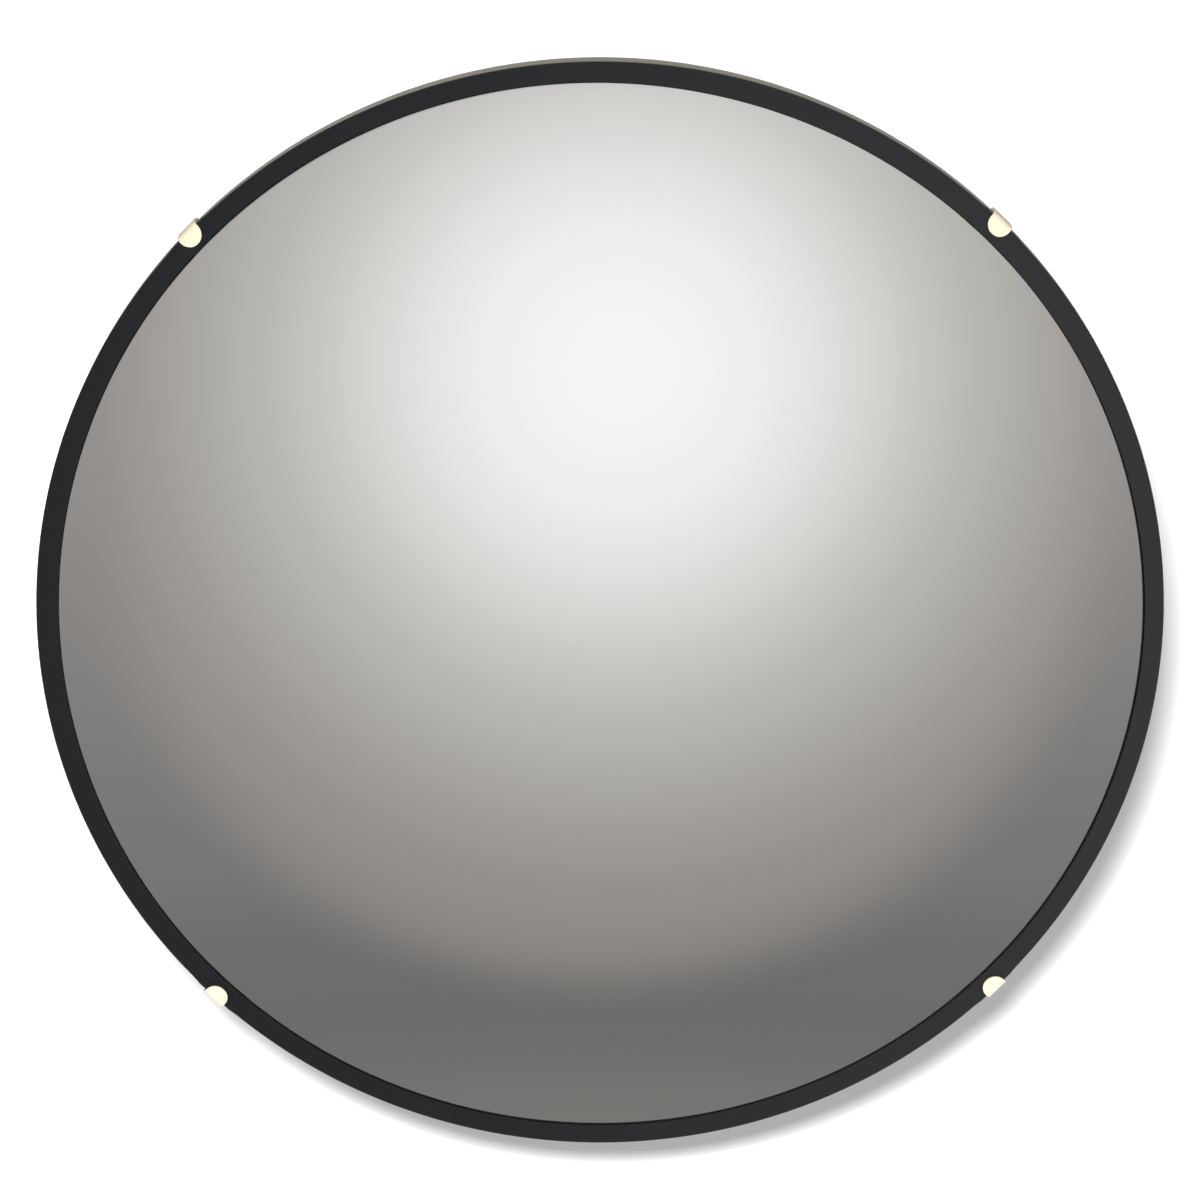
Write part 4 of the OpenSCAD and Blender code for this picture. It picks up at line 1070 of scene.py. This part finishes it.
class MIRROR_OT_lock(bpy.types.Operator):
    """Make the locking screw, its lobed knob and the nut welded to the outer tube"""

    bl_idname = "mirror.lock"
    bl_label = "Locking screw and knob"

    def execute(self, context):
        scene = context.scene
        hardware = scene.mirror_hardware
        at = Matrix.Translation(Vector((0, PIVOT["knob_turn"].y, 0)))
        low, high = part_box("lock_knob")
        knob_r = (high.y - low.y) / 2
        foot, top = low.z, high.z
        boss_h = 2.5 * MM
        bore_r = hardware.bolt_radius + 0.1 * MM
        bore_top = top - 3 * MM
        lobes = 6

        def knob_section(angle):
            wave = 0.5 + 0.5 * math.cos(lobes * angle)
            full = knob_r * (0.84 + 0.16 * wave ** 0.7)
            round_r = 2.2 * MM
            under = arc(full - round_r, foot + boss_h + round_r, round_r, -90, 0, 6)
            over = arc(full - round_r, top - round_r, round_r, 0, 90, 8)
            dish_r = knob_r * 0.42
            return [
                (0, bore_top), (bore_r, bore_top), (bore_r, foot), (knob_r / 2, foot),
                (knob_r / 2, foot + boss_h)] + under + over + [
                (dish_r + 1 * MM, top), (dish_r + 0.3 * MM, top - 0.15 * MM), (dish_r, top - 0.6 * MM),
                (0, top - 0.6 * MM)]

        knob = show(turned("lock_knob_finished", knob_section, 144, at), "lock_knob_finished")
        hand_over(knob, "lock_knob", material_for("lock_knob"))

        tip, screw_top = (corner.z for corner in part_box("lock_screw"))
        r = hardware.bolt_radius
        root_r = r - 0.55 * hardware.pitch

        def screw_section(angle):
            point = 0.6 * MM
            return [(0, tip), (root_r - point, tip), (root_r, tip + point), (root_r, foot),
                    (r, foot + 0.5 * MM), (r, screw_top), (0, screw_top)]

        screw = show(turned("lock_screw_finished", screw_section, 48, at), "lock_screw_finished")
        grow(screw, thread_tree(), {
            "Crest Radius": r, "Pitch": hardware.pitch, "Length": foot - tip - 1 * MM,
            "Place": tuple(at @ Vector((0, 0, tip + 0.9 * MM))), "Turn": (0, 0, 0),
            "Material": material_for("lock_screw")})
        hand_over(screw, "lock_screw", material_for("lock_screw"))

        nut_low, nut_top = (corner.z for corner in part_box("weld_nut"))
        chamfer_r = 0.47 * hardware.bolt_flats

        def nut_section(angle):
            corner_r = hex_radius(angle, hardware.bolt_flats)
            slope = (corner_r - chamfer_r) * math.tan(math.radians(30))
            bore = r + 0.05 * MM
            return [(bore, nut_low), (corner_r, nut_low), (corner_r, nut_top - slope), (chamfer_r, nut_top),
                    (bore + 0.5 * MM, nut_top), (bore, nut_top - 0.5 * MM)]

        nut = show(turned("weld_nut_finished", nut_section, 96, at, ring=True), "weld_nut_finished")
        grow(nut, bead_tree(), {
            "Corner Radius": hardware.bolt_flats / math.sqrt(3), "Drop Size": 1 * MM,
            "Place": tuple(at @ Vector((0, 0, nut_low + 0.25 * MM))), "Material": material_for("weld_nut")})
        hand_over(nut, "weld_nut", material_for("weld_nut"))
        return {"FINISHED"}


def islands(node):
    """Centres of a CAD solid's separate bodies."""
    shape = bmesh.new()
    shape.from_mesh(frame["nodes"][node].data)
    bmesh.ops.remove_doubles(shape, verts=shape.verts, dist=MERGE_DISTANCE)
    left = set(shape.verts)
    centres = []
    while left:
        group = set()
        edge = [left.pop()]
        while edge:
            vert = edge.pop()
            group.add(vert)
            for link in vert.link_edges:
                other = link.other_vert(vert)
                if other in left:
                    left.remove(other)
                    edge.append(other)
        places = [vert.co for vert in group]
        low = Vector([min(p[i] for p in places) for i in range(3)])
        high = Vector([max(p[i] for p in places) for i in range(3)])
        centres.append((low + high) / 2)
    shape.free()
    return sorted(centres, key=lambda c: tuple(round(v, 5) for v in c))


class MIRROR_OT_stage(bpy.types.Operator):
    """Set up the floor, the lights, the surroundings that the mirror shows and the camera"""

    bl_idname = "mirror.stage"
    bl_label = "Stage"

    def execute(self, context):
        scene = context.scene
        stage = scene.mirror_stage
        scene.view_settings.view_transform = "Standard"
        floor = self.lay_floor(scene, stage)
        self.paint_surroundings(scene)
        camera = self.place_camera(scene, stage)
        self.hang_lights(stage, floor)
        self.hang_floor_lamp(stage, floor, camera)
        return {"FINISHED"}

    def lay_floor(self, scene, stage):
        half = stage.floor_size / 2
        height = TRIM_LOW.z - stage.floor_drop
        mesh = bpy.data.meshes.new("floor")
        corners = [(-half, -half, height), (half, -half, height), (half, half, height), (-half, half, height)]
        mesh.from_pydata(corners, [], [(0, 1, 2, 3)])
        floor = show(mesh, "floor")
        mesh.materials.append(paper_floor(scene.mirror_finish))
        floor.visible_glossy = False
        return floor

    def hang_lights(self, stage, floor):
        # Each light: its name, strength, spread, angle above the floor and angle round from the front
        for name, strength, spread, rise, side in (
                ("main_light", stage.sun_strength, stage.sun_spread, stage.sun_rise, -stage.sun_side),
                ("rear_light", stage.rear_strength, math.radians(25), math.radians(52), math.radians(205))):
            lamp = bpy.data.lights.new(name, "SUN")
            lamp.energy = strength
            lamp.angle = spread
            light = bpy.data.objects.new(name, lamp)
            towards = Vector((
                math.sin(side) * math.cos(rise), -math.cos(side) * math.cos(rise), math.sin(rise)))
            light.rotation_mode = "QUATERNION"
            light.rotation_quaternion = towards.to_track_quat("Z", "Y")
            light.visible_glossy = False
            bpy.context.scene.collection.objects.link(light)
            if name == "main_light":
                all_but_floor = bpy.data.collections.new("all_but_floor")
                all_but_floor.objects.link(floor)
                all_but_floor.collection_objects[0].light_linking.link_state = "EXCLUDE"
                light.light_linking.receiver_collection = all_but_floor

    def hang_floor_lamp(self, stage, floor, camera):
        """A small lamp beside the camera for the floor alone, which lays a shadow close round the outline"""
        lamp = bpy.data.lights.new("floor_lamp", "POINT")
        lamp.energy = stage.floor_power
        lamp.shadow_soft_size = stage.floor_lamp_size
        lamp.use_nodes = True
        tree = lamp.node_tree
        even = add(tree, "ShaderNodeLightFalloff", {}, {"Strength": 1.0})
        tree.links.new(even.outputs["Constant"], tree.nodes["Emission"].inputs["Strength"])
        light = bpy.data.objects.new("floor_lamp", lamp)
        offset = camera.rotation_quaternion @ Vector((-stage.floor_lamp_left, stage.floor_lamp_up, 0))
        light.location = camera.location + offset
        light.visible_glossy = False
        light.visible_camera = False
        bpy.context.scene.collection.objects.link(light)
        floor_only = bpy.data.collections.new("floor_only")
        floor_only.objects.link(floor)
        light.light_linking.receiver_collection = floor_only

    def paint_surroundings(self, scene):
        """A soft light in front, fading outwards, over a darker lower part; plain white beyond the object"""
        world = bpy.data.worlds.new("studio")
        scene.world = world
        world.use_nodes = True
        tree = world.node_tree
        tree.nodes.clear()
        direction = add(tree, "ShaderNodeTexCoord", {}, {}).outputs["Generated"]
        glow_rise = math.radians(11)
        glow_side = math.radians(2)
        glow_towards = (math.sin(glow_side) * math.cos(glow_rise), -math.cos(glow_side) * math.cos(glow_rise),
                        math.sin(glow_rise))

        def angle_from(towards):
            facing = add(tree, "ShaderNodeVectorMath", {"operation": "DOT_PRODUCT"}, {
                0: direction, 1: towards})
            return add(tree, "ShaderNodeMath", {"operation": "ARCCOSINE"},
                {0: facing.outputs["Value"]}).outputs[0]

        from_glow = add(tree, "ShaderNodeMath", {"operation": "DIVIDE"}, {
            0: angle_from(glow_towards), 1: math.radians(90)})
        glow = add(tree, "ShaderNodeValToRGB", {"blend": "CARDINAL", "stops": [
            (0.0, linear("#f5f5f5")), (9 / 90, linear("#f1f1f1")), (15 / 90, linear("#eaeaea")),
            (21 / 90, linear("#dddddc")), (27 / 90, linear("#cdccca")), (33 / 90, linear("#bcbbb9")),
            (39 / 90, linear("#afaeaa")), (45 / 90, linear("#a39f9d")), (51 / 90, linear("#979491")),
            (58 / 90, linear("#8f8a87")), (1.0, linear("#8a8684"))]}, {"Fac": from_glow.outputs[0]})
        from_axis = angle_from((0, -1, 0))
        height = add(tree, "ShaderNodeSeparateXYZ", {}, {0: direction}).outputs[2]
        depth = add(tree, "ShaderNodeMath", {"operation": "MULTIPLY"}, {0: height, 1: -1.0})
        ground = add(tree, "ShaderNodeValToRGB", {"blend": "CARDINAL", "stops": [
            (0.0, linear("#949190")), (0.2, linear("#8b8886")), (0.42, linear("#7f7e7d")),
            (0.65, linear("#757574")), (0.83, linear("#6c6c6b")), (0.93, linear("#757573"))]},
            {"Fac": depth.outputs[0]})
        # The layers over the glow: each one's colour, what it is measured on, where it starts and is full
        colour = glow.outputs["Color"]
        soft_box = Vector((-0.45, 0.55, 0.7)).normalized()
        for layer, measure, start, full in (
                (ground.outputs["Color"], from_axis, math.radians(46), math.radians(57)),
                (opaque(linear("#c0c0c0")), from_axis, math.radians(80), math.radians(120)),
                (opaque(linear("#abadb0")), height, 0.6, 0.85),
                # A soft box behind and above, which gives the bracket's metal its highlights
                ((1.5, 1.5, 1.5, 1.0), angle_from(tuple(soft_box)), math.radians(30), math.radians(12))):
            share = add(tree, "ShaderNodeMapRange", {"interpolation_type": "SMOOTHSTEP"}, {
                "Value": measure, "From Min": start, "From Max": full})
            mixed = add(tree, "ShaderNodeMix", {"data_type": "RGBA"}, {
                "Factor": share.outputs[0], "A": colour, "B": layer})
            colour = mixed.outputs["Result"]
        # Straight at the camera it is plain white
        seen = add(tree, "ShaderNodeLightPath", {}, {}).outputs["Is Camera Ray"]
        plain = add(tree, "ShaderNodeMix", {"data_type": "RGBA"}, {
            "Factor": seen, "A": colour, "B": (1.0, 1.0, 1.0, 1.0)})
        # The silver gives back 93% of this, so it is that much brighter than it looks in the mirror
        silver_share = 0.93
        background = add(tree, "ShaderNodeBackground", {}, {
            "Color": plain.outputs["Result"], "Strength": 1 / silver_share})
        add(tree, "ShaderNodeOutputWorld", {}, {"Surface": background.outputs[0]})

    def place_camera(self, scene, stage):
        data = bpy.data.cameras.new("camera")
        data.lens = stage.lens
        data.sensor_width = 36
        data.clip_end = 100
        camera = bpy.data.objects.new("camera", data)
        middle = Vector((0, -BOARD_FRONT, stage.aim_height))
        back = Vector((0, -math.cos(stage.camera_rise), math.sin(stage.camera_rise)))
        camera.location = middle + back * stage.camera_distance
        camera.rotation_mode = "QUATERNION"
        camera.rotation_quaternion = back.to_track_quat("Z", "Y")
        scene.collection.objects.link(camera)
        scene.camera = camera
        return camera


OPERATORS = (
    MIRROR_OT_glass, MIRROR_OT_trim, MIRROR_OT_clips, MIRROR_OT_back, MIRROR_OT_sheet, MIRROR_OT_tubes,
    MIRROR_OT_mouldings, MIRROR_OT_rivets, MIRROR_OT_washers, MIRROR_OT_bolts, MIRROR_OT_wing_nuts,
    MIRROR_OT_lock, MIRROR_OT_stage)
SETTINGS = {
    "mirror_shape": MirrorShape,
    "mirror_hardware": MirrorHardware,
    "mirror_finish": MirrorFinish,
    "mirror_stage": MirrorStage,
}


class MIRROR_PT_panel(bpy.types.Panel):
    """The mirror's pieces and its stage"""

    bl_label = "Convex Security Mirror"
    bl_space_type = "VIEW_3D"
    bl_region_type = "UI"
    bl_category = "Mirror"

    def draw(self, context):
        for operator in OPERATORS:
            self.layout.operator(operator.bl_idname)
        for group in SETTINGS:
            box = self.layout.box()
            box.label(text=SETTINGS[group].bl_rna.description)
            settings = getattr(context.scene, group)
            for label in SETTINGS[group].__annotations__:
                box.prop(settings, label)


def register():
    for group, kind in SETTINGS.items():
        bpy.utils.register_class(kind)
        setattr(bpy.types.Scene, group, PointerProperty(type=kind))
    for kind in (*OPERATORS, MIRROR_PT_panel):
        bpy.utils.register_class(kind)


def unregister():
    for kind in (MIRROR_PT_panel, *reversed(OPERATORS)):
        bpy.utils.unregister_class(kind)
    for group, kind in SETTINGS.items():
        delattr(bpy.types.Scene, group)
        bpy.utils.unregister_class(kind)


def main():
    register()
    for operator in OPERATORS:
        family, name = operator.bl_idname.split(".")
        getattr(getattr(bpy.ops, family), name)()


if __name__ == "__main__":
    main()
